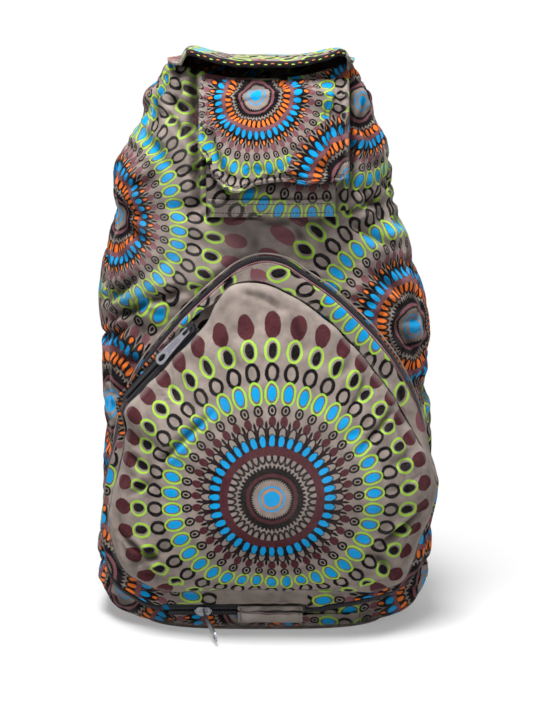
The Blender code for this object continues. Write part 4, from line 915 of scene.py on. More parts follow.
def body_wall(name, first, last, across, along, seed):
    """One wall of the body, between two angles, with its folds and sewn edges."""
    shape = wall_shape(first, last)
    piece, u, v = grid_piece(across, along)
    angle = first + u * (last - first)
    places = shape(u, v)
    x, z = places[:, 0], places[:, 2]
    out = outwards(places, across, along)
    front = np.sin(np.radians(angle)) < 0.35
    covered = under_others(x, z, front)
    run = np.abs(last - first) / 360 * 0.62
    edge = np.minimum(u, 1 - u) * run

    def held(p, q):
        """1 where the wall is sewn or lies behind a pocket."""
        spots = shape(p, q)
        at_edge = (np.minimum(p, 1 - p) < 0.01) | (np.minimum(q, 1 - q) < 0.01)
        behind = under_others(spots[:, 0], spots[:, 2], spots[:, 1] < 0)
        return np.clip(np.maximum(at_edge, behind), 0, 1)

    rough = settled(shape, held, max(24, across // 3), max(60, along // 3), 0.08, 4.0, WALL_MOVES)
    moves = spread(rough, u, v) * (1 - covered)[:, None]
    pull = seam_pull(edge, z, 0.011, 0.0013, 0.007, 3)
    foot = seam_pull(z - BODY_LOW, around_body(angle, z), 0.013, 0.0014, 0.008, 4)
    head = seam_pull(mouth_height(angle) - z, around_body(angle, z), 0.012, 0.0010, 0.006, 5)
    wide = 0.0022 * lumps(places, 0.085, 1) + 0.0010 * lumps(places, 0.035, 2)
    valley = 0.0028 * crumple(places, 0.060, seed) + 0.0016 * crumple(places, 0.028, seed + 1)
    placed = creases(x, z, BODY_FOLDS) * front
    free = (1 - covered) * np.clip(edge / 0.012, 0.15, 1)
    rise = (wide + valley) * free - placed * (1 - covered) - pull - foot - head
    rise *= np.clip((z - BODY_LOW) / 0.012, 0, 1) * 0.85 + 0.15
    rise = np.minimum(rise, 0.0024) - 0.0020 * covered
    set_places(piece, places + moves + out * rise[:, None])
    worn = np.exp(-(edge / 0.0018) ** 2) * 0.7 + np.exp(-((z - BODY_LOW) / 0.003) ** 2) * 0.8
    worn += np.clip((rise + (moves * out).sum(axis=1)) / 0.005, 0, 1) * 0.35 * free
    # Painted shade: darker in the placed creases and in the crumple's valleys
    painted_shade = np.clip((placed - 0.0008) / 0.0035, 0, 1) + 0.60 * np.clip(-valley / 0.0035, 0, 1)
    set_map(piece, np.stack([around_body(angle, z), z], axis=-1), worn, painted_shade * free)
    thicken(piece, 0.0016)
    finish_piece(piece, name + "_cloth", BODY_COTTON, replaced=[name])


def body():
    """The four walls of the body."""
    body_wall("front_panel", 180 + FRONT_SEAM_ANGLE, 360 - FRONT_SEAM_ANGLE, 150, 240, 41)
    body_wall("side_panel_right", 360 - FRONT_SEAM_ANGLE, 360 + BACK_SEAM_ANGLE, 60, 240, 43)
    body_wall("side_panel_left", 180 - BACK_SEAM_ANGLE, 180 + FRONT_SEAM_ANGLE, 60, 240, 45)
    body_wall("back_panel", BACK_SEAM_ANGLE, 180 - BACK_SEAM_ANGLE, 110, 230, 47)


def base():
    """The bag's flat underside, of plain cotton."""
    count = 48
    piece, u, v = grid_piece(count, count)
    share, angle = disc(u, v)
    rim = body_point(np.degrees(angle), np.zeros(len(angle)))
    places = np.stack([rim[:, 0] * share, rim[:, 1] * share, np.full(len(share), BASE_THICKNESS)], axis=-1)
    set_places(piece, places)
    set_map(piece, places[:, :2], np.clip((share - 0.97) / 0.03, 0, 1))
    thicken(piece, BASE_THICKNESS)
    finish_piece(piece, "base_panel_cloth", WASHED_COTTON, replaced=["base_panel"])


def disc(u, v):
    """The polar place of a square grid's point on a disc: its share of the radius, and its angle."""
    a, b = 2 * u - 1, 2 * v - 1
    share = np.maximum(np.abs(a), np.abs(b))
    wide = np.abs(a) >= np.abs(b)
    ratio = np.where(wide, b, a) / np.where(share == 0, 1, np.where(wide, a, b))
    quarter = math.pi / 4 * ratio
    angle = np.where(wide, np.where(a >= 0, quarter, math.pi + quarter),
                     np.where(b >= 0, math.pi / 2 - quarter, -math.pi / 2 - quarter))
    return share, angle


# Small pocket, flap and lid
def pocket_swell(x, z):
    """How far the small pocket stands in front of the body."""
    middle = (SMALL_POCKET_LEFT + SMALL_POCKET_RIGHT) / 2
    half = (SMALL_POCKET_RIGHT - SMALL_POCKET_LEFT) / 2
    side = np.clip(1 - np.abs((x - middle) / half) ** 6, 0, 1) ** 0.5
    height = np.clip((z - SMALL_POCKET_BOTTOM) / (SMALL_POCKET_TOP - SMALL_POCKET_BOTTOM), 0, 1)
    fill = np.clip(height / 0.22, 0, 1) ** 0.6 * (1 - 0.45 * height)
    return SMALL_POCKET_DEPTH * side * fill


def pocket_face(x, z, stand):
    """Places on the small pocket's front, moved out by stand."""
    y = body_depth(x, z, -1) - pocket_swell(x, z) - stand
    return np.stack([x, y, np.broadcast_to(z, np.shape(x))], axis=-1)


BAND_LINES = (SMALL_POCKET_BOTTOM + 0.0040, SMALL_POCKET_BOTTOM + 0.0115)


def small_pocket():
    """The small pocket, its hem band and the band's two rows of stitches."""
    across, along = 110, 100
    piece, u, v = grid_piece(across, along)
    x = SMALL_POCKET_LEFT + u * (SMALL_POCKET_RIGHT - SMALL_POCKET_LEFT)
    z = SMALL_POCKET_BOTTOM + v * (SMALL_POCKET_TOP - SMALL_POCKET_BOTTOM)
    places = pocket_face(x, z, CLOTH + 2 * SEAT)
    places += outwards(places, across, along) * (0.0008 * lumps(places, 0.02, 6))[:, None]
    set_places(piece, places)
    # Painted shadow: the pocket is darkened fully under the flap and for a few millimetres below its lower
    # edge
    under = smooth(FLAP_LOWER_EDGE, x) - z
    shade = np.where(under > 0, np.exp(-(under / 0.0065) ** 2), 1.0)
    set_map(piece, np.stack([x, z], axis=-1), np.exp(-((z - SMALL_POCKET_BOTTOM) / 0.002) ** 2), shade)
    thicken(piece, 0.0014)
    finish_piece(piece, "small_pocket_cloth", POCKET_COTTON, replaced=["small_pocket"])
    across, along = 110, 14
    band, u, v = grid_piece(across, along)
    x = SMALL_POCKET_LEFT + 0.002 + u * (SMALL_POCKET_RIGHT - SMALL_POCKET_LEFT - 0.004)
    z = SMALL_POCKET_BOTTOM + 0.0010 + v * 0.0140
    lines = sum(np.exp(-((z - line) / 0.0008) ** 2) for line in BAND_LINES)
    places = pocket_face(x, z, CLOTH + 4 * SEAT + 0.0018)
    places += outwards(places, across, along) * (0.0005 * lumps(places, 0.010, 7) - 0.0008 * lines)[:, None]
    set_places(band, places)
    set_map(band, np.stack([x, z], axis=-1), np.clip(0.25 + lines * 0.5, 0, 1))
    thicken(band, 0.0010)
    finish_piece(band, "small_pocket_band_cloth", POCKET_COTTON,
                 replaced=["small_pocket_band"])
    for line, label in zip(BAND_LINES, ("lower", "upper")):
        x = np.linspace(SMALL_POCKET_LEFT + 0.004, SMALL_POCKET_RIGHT - 0.004, 80)
        row = pocket_face(x, np.full(80, line), CLOTH + 4 * SEAT + 0.0017)
        stitches(f"small_pocket_{label}_stitches", row, np.array([0.0, -1.0, 0.0]), DARK_THREAD)


def flap_shape(u, v):
    """A point of the flap's front, for shares across it and up it."""
    x = FLAP_LEFT + u * (FLAP_RIGHT - FLAP_LEFT)
    low = smooth(FLAP_LOWER_EDGE, x)
    z = low + v * (FLAP_TOP - low)
    middle, half = (FLAP_LEFT + FLAP_RIGHT) / 2, (FLAP_RIGHT - FLAP_LEFT) / 2
    side = np.clip(np.abs((x - middle) / half), 0, 1)
    stand = 2 * CLOTH + 0.0012 + 6 * SEAT
    sewn = CLOTH + 2 * SEAT
    curl = 0.0080 * (1 - side ** 3) * np.sin(math.pi / 2 * np.clip(1 - v, 0, 0.75) / 0.75)
    lifted = np.maximum(pocket_swell(x, z), 0.55 * SMALL_POCKET_DEPTH * (1 - v) ** 0.5)
    free = np.clip((FLAP_TOP - z) / 0.012, 0, 1)
    y = body_depth(x, z, -1) - sewn - free * (lifted + stand - sewn) - curl
    y += 0.0035 * np.clip((side - 0.90) / 0.10, 0, 1) ** 2
    y += 0.0015 * np.clip((0.05 - v) / 0.05, 0, 1) ** 2
    return np.stack([x, y, z], axis=-1)


FLAP_FOLDS = [
    (-0.045, 0.443, 0.050, 0.446, 0.0040, 0.0030), (-0.040, 0.425, 0.010, 0.418, 0.0045, 0.0022),
    (0.015, 0.430, 0.058, 0.420, 0.0045, 0.0022), (-0.044, 0.405, -0.028, 0.372, 0.0035, 0.0035),
    (0.030, 0.380, 0.060, 0.388, 0.0045, 0.0022),
]


def flap():
    """The puffy flap over the small pocket, with a rolled edge and a row of stitches."""
    across, along = 130, 110
    piece, u, v = grid_piece(across, along)
    places = flap_shape(u, v)

    def held(p, q):
        """1 at the flap's four edges."""
        return ((np.minimum(p, 1 - p) < 0.01) | (np.minimum(q, 1 - q) < 0.01)) * 1.0

    moves = spread(settled(flap_shape, held, 44, 38, 0.12, 4.0, FLAP_MOVES), u, v)
    out = outwards(places, across, along)
    moves += out * np.clip(0.0008 - (moves * out).sum(axis=1), 0, 0.003)[:, None] * 0.6
    x, z = places[:, 0], places[:, 2]
    edge = np.minimum(np.minimum(u, 1 - u) * 0.119, v * 0.080)
    rim = 0.0013 * np.exp(-((edge - 0.0040) / 0.0012) ** 2)
    placed = creases(x, z, FLAP_FOLDS)
    valley = 0.0022 * crumple(places, 0.040, 51) + 0.0010 * crumple(places, 0.020, 52)
    rise = 0.0012 * lumps(places, 0.028, 8) + valley * np.clip(edge / 0.008, 0.2, 1) - placed - rim
    set_places(piece, places + moves + out * rise[:, None])
    # The cloth's map follows the flap down from its top, partly along the cloth's bulge
    columns = places.reshape(along + 1, across + 1, 3)
    steps = np.linalg.norm(np.diff(columns, axis=0), axis=-1)
    down = np.concatenate([np.cumsum(steps[::-1], axis=0)[::-1], np.zeros((1, across + 1))]).ravel()
    # Painted shade: darker in the placed creases and in the crumple's valleys
    painted_shade = np.clip((placed - 0.001) / 0.004, 0, 1) + 0.35 * np.clip(-valley / 0.003, 0, 1)
    height = FLAP_TOP - 0.12 * down - 0.88 * (FLAP_TOP - z)
    set_map(piece, np.stack([x, height], axis=-1), np.clip(1 - edge / 0.0032, 0, 1) * 0.7, painted_shade)
    thicken(piece, 0.0022)
    finish_piece(piece, "small_pocket_flap_cloth", FLAP_COTTON,
                           replaced=["small_pocket_flap"])
    shares = np.linspace(0.035, 0.965, 90)
    row = flap_shape(shares, np.full(90, 0.055))
    facing = outwards(flap_shape(np.tile(shares, 3), np.repeat([0.045, 0.055, 0.065], 90)), 89, 2)[90:180]
    stitches("flap_lower_stitches", row + facing * 0.0004, facing)


LID_HALF = 0.0625
LID_SHIFT = 0.0005


def lid_edge(angle):
    """How far the lid reaches sideways and along in the direction angle."""
    left = smooth(LEFT_REACH, MOUTH_BACK) - LID_INSET
    right = smooth(RIGHT_REACH, MOUTH_BACK) - LID_INSET
    back = smooth(BACK_REACH, MOUTH_BACK) - LID_INSET
    front = np.sin(angle) < 0
    power = 2 / np.where(front, LID_SQUARENESS, SQUARENESS_HIGH)
    across = np.sign(np.cos(angle)) * np.abs(np.cos(angle)) ** power
    along = np.sign(np.sin(angle)) * np.abs(np.sin(angle)) ** power
    return (right - left) / 2 + (right + left) / 2 * across, np.where(front, LID_FRONT, back) * along


def lid_height(x, y, share):
    """The height of the lid's underside: it is raised at both ends and dips over its visor."""
    visor = np.clip((-y - VISOR_START) / VISOR_RUN, 0, 1)
    far = np.abs(x + LID_SHIFT)
    rising = np.clip((far - LID_LIFT_FROM) / LID_LIFT_OVER, 0, 1) ** 1.6
    falling = np.clip((LID_HALF + LID_LIFT_END - far) / LID_LIFT_END, 0, 1)
    lift = LID_LIFT * rising * falling
    lift *= np.clip((LID_LIFT_BACK - y) / LID_LIFT_RUN, 0, 1) * (1 - share ** 8 * (1 - visor))
    return MOUTH_BACK + SEAT + LID_SAG * (1 - share ** 2) - LID_DROP * visor + lift


def mouth_sides():
    """The bag's cloth that rises to the lid's ends and closes the mouth behind them."""
    for first, last, label in ((-22, 60, "right"), (120, 202, "left")):
        across, along = 60, 10
        piece, u, v = grid_piece(across, along)
        angle = np.radians(first + u * (last - first))
        reach_x, reach_y = (0.955 * side for side in lid_edge(angle))
        low = mouth_height(np.degrees(angle)) - 0.006
        high = lid_height(reach_x, reach_y, np.full(len(u), 0.955)) + 0.0004
        set_places(piece, np.stack([reach_x, reach_y, low + v * (high - low)], axis=-1))
        rise = low + v * (high - low)
        set_map(piece, np.stack([around_body(np.degrees(angle), rise), rise], axis=-1))
        thicken(piece, 0.0010)
        finish_piece(piece, f"mouth_side_{label}", BODY_COTTON)


def lid():
    """The lid over the mouth, the dark binding of its front edge and its two-coloured stitches."""
    count = 100
    piece, u, v = grid_piece(count, count)
    share, angle = disc(u, v)
    reach_x, reach_y = lid_edge(angle)
    x, y = reach_x * share, reach_y * share
    places = np.stack([x, y, lid_height(x, y, share)], axis=-1)
    edge = (1 - share) * 0.06
    uneven = 0.0009 * lumps(places, 0.022, 10) + 0.0012 * crumple(places, 0.035, 53)
    seam = 0.0008 * np.exp(-((edge - 0.0050) / 0.0010) ** 2)
    places[:, 2] += np.clip(edge / 0.006, 0, 1) * (0.0010 + uneven) - seam
    set_places(piece, places)
    set_map(piece, places[:, :2], np.clip(1 - edge / 0.003, 0, 1) * 0.8)
    thicken(piece, 0.0026, offset=1.0)
    finish_piece(piece, "top_lid_cloth", LID_COTTON, replaced=["top_lid"])
    # The visor's hem, bound in dark cotton and stitched
    turns = np.linspace(math.pi * 1.05, math.pi * 1.95, 900)
    reach_x, reach_y = lid_edge(turns)
    kept = np.abs(reach_x + LID_SHIFT) < LID_HALF
    rim = np.stack([reach_x, reach_y, lid_height(reach_x, reach_y, np.ones(900)) + 0.0013], axis=-1)[kept]
    rim = rim[np.round(np.linspace(0, len(rim) - 1, 160)).astype(int)]
    binding, u, v = grid_piece(16, 159)
    rows = np.round(v * 159).astype(int)
    around = 2 * math.pi * u
    way = np.gradient(rim, axis=0)
    side = np.cross(way, np.array([0.0, 0.0, 1.0]))
    side /= np.linalg.norm(side, axis=1)[:, None]
    places = rim[rows] + side[rows] * (0.0016 * np.cos(around) - 0.0004)[:, None]
    places[:, 2] += 0.0026 * np.sin(around) + 0.0004 * lumps(places, 0.008, 17)
    set_places(binding, places)
    set_map(binding, np.stack([u * 0.012, v * 0.2], axis=-1))
    weld(binding, close=True)
    binding.data.shade_smooth()
    finish_piece(binding, "lid_binding", DARK_COTTON)
    for thread, shift, label in ((ORANGE_THREAD, 0.0, "first"), (LIME_THREAD, 0.5, "second")):
        line = rim[6:-6] + side[6:-6] * 0.0013 + np.array([0.0, 0.0, 0.0006 - 0.0016 * shift])
        at, going = along_line(line, 5.4 * MM)
        keep = slice(int(shift * 2), None, 2)
        size = (2.6 * MM, 0.9 * MM, 0.7 * MM)
        facing = np.tile(np.array([0.0, -1.0, 0.25]), (len(at), 1))[keep]
        row_of_blocks(f"lid_{label}_stitches", at[keep], going[keep], facing, size, thread)


# Front pocket
def side_zip_axes():
    """The side zip's axes, along it, across it and out, and its direction across."""
    run = (SIDE_ZIP_BOTTOM - SIDE_ZIP_TOP).normalized()
    face = (SIDE_ZIP_FACES - SIDE_ZIP_FACES.dot(run) * run).normalized()
    side = face.cross(run)
    return Matrix((run, side, face)).transposed().to_4x4(), side


SIDE_AXES, SIDE_ACROSS = side_zip_axes()
SIDE_ZIP_LENGTH = (SIDE_ZIP_BOTTOM - SIDE_ZIP_TOP).length
SIDE_ZIP_FRAME = Matrix.Translation(SIDE_ZIP_TOP) @ SIDE_AXES
LOWER_FACE = Vector((0, -math.cos(LOWER_ZIP_TILT), -math.sin(LOWER_ZIP_TILT)))
LOWER_RUN = Vector((1, 0, 0))
LOWER_AXES = Matrix((LOWER_RUN, LOWER_FACE.cross(LOWER_RUN), LOWER_FACE)).transposed().to_4x4()
LOWER_ZIP_FRAME = Matrix.Translation((0, -LOWER_ZIP_REACH, LOWER_ZIP_HEIGHT)) @ LOWER_AXES


def on_lower_zip(local):
    """Places in the bag's frame, from places in the lower zip's."""
    return local @ np.array(LOWER_ZIP_FRAME.to_3x3()).T + np.array(LOWER_ZIP_FRAME.translation)


def pocket_edge(side):
    """The closed edge of the front pocket's panel, or of its gusset if side is 1."""
    knots = []
    for knot in POCKET_EDGE:
        if knot != "side zip":
            knots.append(Vector(knot) + side * Vector((0, CLOTH + 4 * SEAT, 0)))
            continue
        reach = side * (ZIP_MOUTH + 0.0006) - (1 - side) * ZIP_MOUTH
        for share in (-0.07, 0.2, 0.5, 0.8, 1.07):
            along = SIDE_ZIP_TOP.lerp(SIDE_ZIP_BOTTOM, share)
            knots.append(along - SIDE_ACROSS * reach * math.copysign(1, SIDE_ACROSS.x))
    return closed_curve(knots)


def zip_line(angle):
    """The middle of the outer zip, which lies on the body, and on a straight line along the base."""
    flat = by_angle(ARCH, angle)
    x, z = flat[:, 0], flat[:, 1]
    low = (np.abs(z - LOWER_ZIP_HEIGHT) < 0.003) & (x > LOWER_ZIP_LEFT) & (x < LOWER_ZIP_RIGHT)
    z = np.where(low, LOWER_ZIP_HEIGHT, z)
    lift = CHAIN_STAND + np.clip((0.060 - z) / 0.035, 0, 1) * 0.0025
    on_body = np.stack([x, body_depth(x, z, -1), z], axis=-1) + front_facing(x, z) * lift[:, None]
    straight = np.stack([x, np.full(len(x), -LOWER_ZIP_REACH), z], axis=-1)
    return np.where(low[:, None], straight, on_body)


def beside_zip(angle, aside, lift):
    """Points beside the outer zip's line: aside to the outside of its arch, and lift away from the bag."""
    line = zip_line(angle)
    ahead = zip_line(angle + 0.01) - zip_line(angle - 0.01)
    facing = front_facing(line[:, 0], line[:, 2])
    across = np.cross(ahead, facing)
    across /= np.linalg.norm(across, axis=1)[:, None]
    return line + across * np.reshape(aside, (-1, 1)) + facing * np.reshape(lift, (-1, 1))


PANEL_EDGE = pocket_edge(0)
GUSSET_EDGE = pocket_edge(1)


def dome_point(share, angle):
    """A point of the domed pocket's outside, from the share of the way to its edge and its angle."""
    edge = by_angle(PANEL_EDGE, angle)
    x = DOME_CENTRE[0] + share * (edge[:, 0] - DOME_CENTRE[0])
    z = DOME_CENTRE[1] + share * (edge[:, 2] - DOME_CENTRE[1])
    power = 2.3 - 0.6 * np.clip(np.sin(angle), 0, 1)
    y = edge[:, 1] + (-DOME_REACH - edge[:, 1]) * (1 - share ** power) ** 0.75
    return np.stack([x, y, z], axis=-1)


def dome_shape(u, v):
    """The dome's outside for shares across and along a square grid."""
    return dome_point(*disc(u, v))


DOME_FOLDS = [
    (-0.0277, 0.2941, -0.0152, 0.2953, 0.0025, 0.0030), (-0.0240, 0.2860, -0.0044, 0.2800, 0.0035, 0.0034),
    (-0.0044, 0.2800, 0.0100, 0.2700, 0.0030, 0.0026), (0.0180, 0.2680, 0.0300, 0.2380, 0.0035, 0.0022),
    (-0.0439, 0.1901, -0.0842, 0.1491, 0.0030, 0.0034), (0.1158, 0.1989, 0.0700, 0.1580, 0.0035, 0.0022),
    (0.1250, 0.1036, 0.0888, 0.0832, 0.0030, 0.0040), (-0.1180, 0.0832, -0.0850, 0.0684, 0.0030, 0.0034),
    (-0.1100, 0.1180, -0.0900, 0.1330, 0.0030, 0.0026),
    (-0.0400, 0.2500, -0.0200, 0.2250, 0.0040, 0.0020), (-0.1080, 0.0620, -0.0800, 0.0800, 0.0040, 0.0030),
    (0.1000, 0.0620, 0.0820, 0.0780, 0.0040, 0.0030), (-0.1180, 0.1500, -0.0950, 0.1400, 0.0040, 0.0024),
    (0.0700, 0.2300, 0.0500, 0.2150, 0.0040, 0.0020), (0.1150, 0.1500, 0.0950, 0.1450, 0.0040, 0.0020),
]


def dome():
    """The domed front panel with its large round of print."""
    count = 170
    piece, u, v = grid_piece(count, count)
    share, angle = disc(u, v)
    places = dome_point(share, angle)

    def held(p, q):
        """1 at the dome's seam."""
        return (disc(p, q)[0] > 0.985) * 1.0

    moves = spread(settled(dome_shape, held, 60, 60, 0.06, 4.0, DOME_MOVES), u, v)
    # The cloth's map is polar: the distance from the middle is measured along the cloth
    steps = np.linspace(0, 1, 33)
    line = np.stack([dome_point(step * share, angle) for step in steps])
    along_cloth = np.linalg.norm(np.diff(line, axis=0), axis=-1).sum(axis=0)
    flat = np.stack([along_cloth * np.cos(angle), along_cloth * np.sin(angle)], axis=-1)
    out = outwards(places, count, count)
    edge = (1 - share) * 0.12
    pull = seam_pull(edge, angle * 0.13, 0.011, 0.0014, 0.008, 11)
    placed = creases(places[:, 0], places[:, 2], DOME_FOLDS) * np.clip(edge / 0.010, 0, 1)
    valley = 0.0016 * crumple(places, 0.050, 55) + 0.0010 * crumple(places, 0.024, 56)
    valley *= np.clip(share * 1.3, 0.35, 1)
    rise = 0.0020 * lumps(places, 0.06, 12) + 0.0007 * lumps(places, 0.022, 13) + valley
    rise = rise * np.clip(edge / 0.02, 0, 1) - placed - pull
    moves *= np.clip(edge / 0.015, 0, 1)[:, None]
    set_places(piece, places + moves + out * rise[:, None])
    # Painted shade: darker in the placed creases and in the crumple's valleys
    painted_shade = np.clip((placed - 0.0005) / 0.0025, 0, 1) + 0.30 * np.clip(-valley / 0.0025, 0, 1)
    set_map(piece, flat, np.clip(1 - edge / 0.004, 0, 1) * 0.8 + np.clip(rise / 0.004, 0, 1) * 0.2, painted_shade)
    thicken(piece, 0.0016)
    finish_piece(piece, "front_pocket_panel_cloth", PANEL_COTTON,
                 replaced=["front_pocket_panel"])


def gusset_shape(u, v):
    """The gusset's outside, for shares round it and from the zip out to the dome's edge."""
    angle = 2 * math.pi * u
    line = zip_line(angle)
    edge = by_angle(GUSSET_EDGE, angle)
    x, z = line[:, 0], line[:, 2]
    along_base = (x > LOWER_ZIP_LEFT - 0.008) & (x < LOWER_ZIP_RIGHT + 0.004) & (z < 0.03)
    offset = np.where(along_base, 1.3 * ZIP_MOUTH, CHAIN_WIDTH / 2 + 4 * SEAT)
    reach = edge - line
    start = line + reach * (offset / np.linalg.norm(reach, axis=1))[:, None]
    start += front_facing(x, z) * 0.0012
    out = np.stack([np.cos(angle), np.full(len(angle), -0.15), np.sin(angle)], axis=-1)
    bulge = 0.0055 * np.sin(math.pi * v) * np.linalg.norm(reach, axis=1) / 0.030
    return start + v[:, None] * (edge - start) + np.minimum(bulge, 0.008)[:, None] * out


def gusset():
    """The strip of cloth between the outer zip and the dome, sewn in a ring."""
    across, along = 420, 26
    piece, u, v = grid_piece(across, along)
    places = gusset_shape(u, v)
    out = outwards(places, across, along)
    facing = np.stack([np.cos(2 * math.pi * u), np.full(len(u), -0.3), np.sin(2 * math.pi * u)], axis=-1)
    flip = np.sign((out * facing).sum(axis=-1))[:, None]
    out = out * np.where(flip == 0, 1, flip)
    edge = np.minimum(v, 1 - v) * 0.02
    valley = 0.0018 * crumple(places, 0.030, 57) * np.clip(edge / 0.006, 0, 1)
    rise = 0.0012 * lumps(places, 0.03, 14) * np.clip(edge / 0.006, 0, 1) + valley
    rise -= seam_pull(edge, u * 0.86, 0.009, 0.0010, 0.005, 15)
    shaped = (places + out * rise[:, None]).reshape(along + 1, across + 1, 3)
    # The ring closes on itself, so the last column has the first one's places
    shaped[:, -1] = shaped[:, 0]
    set_places(piece, shaped.reshape(-1, 3))
    # Painted shade: darker in the crumple's valleys
    set_map(piece, np.stack([places[:, 0], places[:, 2]], axis=-1), np.clip(1 - edge / 0.003, 0, 1) * 0.6,
            np.clip(-valley / 0.002, 0, 1) * 0.4)
    weld(piece)
    thicken(piece, 0.0014)
    finish_piece(piece, "pocket_gusset_cloth", GUSSET_COTTON, replaced=["pocket_gusset"])


def base_strip():
    """The strip of cloth between the lower zip and the base."""
    across, along = 150, 12
    piece, u, v = grid_piece(across, along)
    low, high = BASE_THICKNESS + 2 * SEAT, LOWER_ZIP_HEIGHT - ZIP_MOUTH
    x = (2 * u - 1) * 0.0760
    z = low + v * (high - low)
    places = np.stack([x, body_depth(x, z, -1) - 0.0016 - 4 * SEAT, z], axis=-1)
    rise = 0.0005 * lumps(places, 0.014, 16)
    set_places(piece, places + outwards(places, across, along) * rise[:, None])
    set_map(piece, np.stack([x, z], axis=-1), np.exp(-((z - low) / 0.002) ** 2))
    thicken(piece, 0.0014)
    finish_piece(piece, "pocket_base_strip_cloth", STRIP_COTTON,
                 replaced=["pocket_base_strip"])


# Zips
COIL_PITCH = 1.3 * MM


def tape_strip(name, line, facing, half_width, lift, finish=None, replaced=()):
    """A flat woven tape along a line."""
    piece, u, v = grid_piece(4, len(line) - 1)
    way = np.gradient(line, axis=0)
    side = np.cross(facing, way)
    side /= np.linalg.norm(side, axis=1)[:, None]
    rows = np.round(v * (len(line) - 1)).astype(int)
    set_places(piece, line[rows] + side[rows] * ((2 * u - 1) * half_width)[:, None] + facing[rows] * lift)
    length = np.linalg.norm(np.diff(line, axis=0), axis=1).sum()
    set_map(piece, np.stack([(2 * u - 1) * half_width, v * length], axis=-1))
    thicken(piece, 0.0006, offset=0.0)
    return finish_piece(piece, name, finish or TAPE, replaced=replaced)


def zip_end(x):
    """The direction of a place on the lower zip, seen from the dome's centre."""
    return math.atan2(LOWER_ZIP_HEIGHT - DOME_CENTRE[1], x - DOME_CENTRE[0])


def outer_zip():
    """The closed zip from the patch up round the arch and down to the lower zip, coil and tape."""
    first = zip_end(LOWER_ZIP_RIGHT + 0.001)
    last = zip_end(LOWER_ZIP_LEFT - 0.004) + 2 * math.pi
    angles = np.linspace(first, last, 900)
    line = zip_line(angles)
    at, way = along_line(line, COIL_PITCH)
    size = (COIL_PITCH * 0.58, CHAIN_WIDTH - 0.0012, 0.0017)
    row_of_blocks("outer_zip_coil", at, way, front_facing(at[:, 0], at[:, 2]), size, COIL,
                  ["outer_zip"])
    tape_line = line[::3]
    tape_strip("outer_zip_tape", tape_line, front_facing(tape_line[:, 0], tape_line[:, 2]), 0.0020, -0.0012)


def piping():
    """The plain piping outside the outer zip and the rose hem inside it."""
    angles = np.radians(np.linspace(-2, 168, 260))
    lift = np.full(len(angles), 0.0007 - CHAIN_STAND + 3 * SEAT)
    outer = beside_zip(angles, CHAIN_WIDTH / 2 + 0.0007 + 2 * SEAT, lift)
    tube("zip_piping_cord", outer, 0.0007, WASHED_COTTON, replaced=["zip_piping"])
    angles = np.radians(np.linspace(-20, 186, 300))
    inner = beside_zip(angles, -CHAIN_WIDTH / 2 - 0.0006, np.full(len(angles), 0.0006))
    tube("gusset_hem", inner, 0.0010, ROSE_COTTON)


def straight_half(name, zip_frame, length, sign, replaced):
    """Half of an open zip: a tape, with coil turns along its inner edge."""
    run, side, face = (np.array(column) for column in zip_frame.to_3x3().col)
    origin = np.array(zip_frame.translation)
    marks = np.arange(0.0006, length, COIL_PITCH)
    at = origin + marks[:, None] * run + side * sign * 0.0020 + face * 0.0002
    row_of_blocks(name + "_coil", at, np.tile(run, (len(marks), 1)), np.tile(face, (len(marks), 1)),
                  (COIL_PITCH * 0.58, 0.0020, 0.0016), COIL)
    line = origin + np.linspace(0, length, 40)[:, None] * run + side * sign * 0.0035
    tape_strip(name + "_tape", line, np.tile(face, (40, 1)), 0.0016, -0.0002, replaced=replaced)


def shade_backing(name, zip_frame, length, half_width):
    """A dark strip set behind the gap between the two halves of an open zip: painted shade for the pocket's
    dark inside.
    """
    run, side, face = (np.array(column) for column in zip_frame.to_3x3().col)
    marks = np.linspace(0.001, length - 0.001, 30)[:, None]
    line = np.array(zip_frame.translation) + marks * run - face * 0.0024
    tape_strip(name, line, np.tile(face, (30, 1)), half_width, 0.0)


def straight_zips():
    """The halves of the two open zips, and the strips of painted shade behind them."""
    straight_half("side_zip_inner", SIDE_ZIP_FRAME, SIDE_ZIP_LENGTH, 1, ["side_zip_inner_half"])
    straight_half("side_zip_outer", SIDE_ZIP_FRAME, SIDE_ZIP_LENGTH, -1, ["side_zip_outer_half"])
    shade_backing("side_zip_shade_backing", SIDE_ZIP_FRAME, SIDE_ZIP_LENGTH, 0.0044)
    start = LOWER_ZIP_FRAME @ Matrix.Translation((LOWER_ZIP_LEFT, 0, 0))
    length = PATCH_LEFT - SEAT - LOWER_ZIP_LEFT
    straight_half("lower_zip_lower", start, length, -1, ["lower_zip_lower_half"])
    straight_half("lower_zip_upper", start, length, 1, ["lower_zip_upper_half"])
    shade_backing("lower_zip_shade_backing", start, length, 0.0044)


def plate(name, outline, thickness, zip_frame, finish, body):
    """A flat plate with a given outline in the frame's X and Y, standing up along its Z, edges softened."""
    mesh = bmesh.new()
    corners = [mesh.verts.new((x, y, -thickness / 2)) for x, y in outline]
    face = mesh.faces.new(corners)
    raised = bmesh.ops.extrude_face_region(mesh, geom=[face])
    tops = [item for item in raised["geom"] if isinstance(item, bmesh.types.BMVert)]
    bmesh.ops.translate(mesh, verts=tops, vec=(0, 0, thickness))
    bmesh.ops.recalc_face_normals(mesh, faces=mesh.faces)
    bmesh.ops.transform(mesh, matrix=zip_frame, verts=mesh.verts)
    data = bpy.data.meshes.new(name)
    mesh.to_mesh(data)
    mesh.free()
    piece = bpy.data.objects.new(name, data)
    bpy.context.scene.collection.objects.link(piece)
    edges = piece.modifiers.new("edges", "BEVEL")
    edges.width = 0.00015
    edges.segments = 2
    apply_modifiers(piece)
    return finish_piece(piece, name, finish, body)


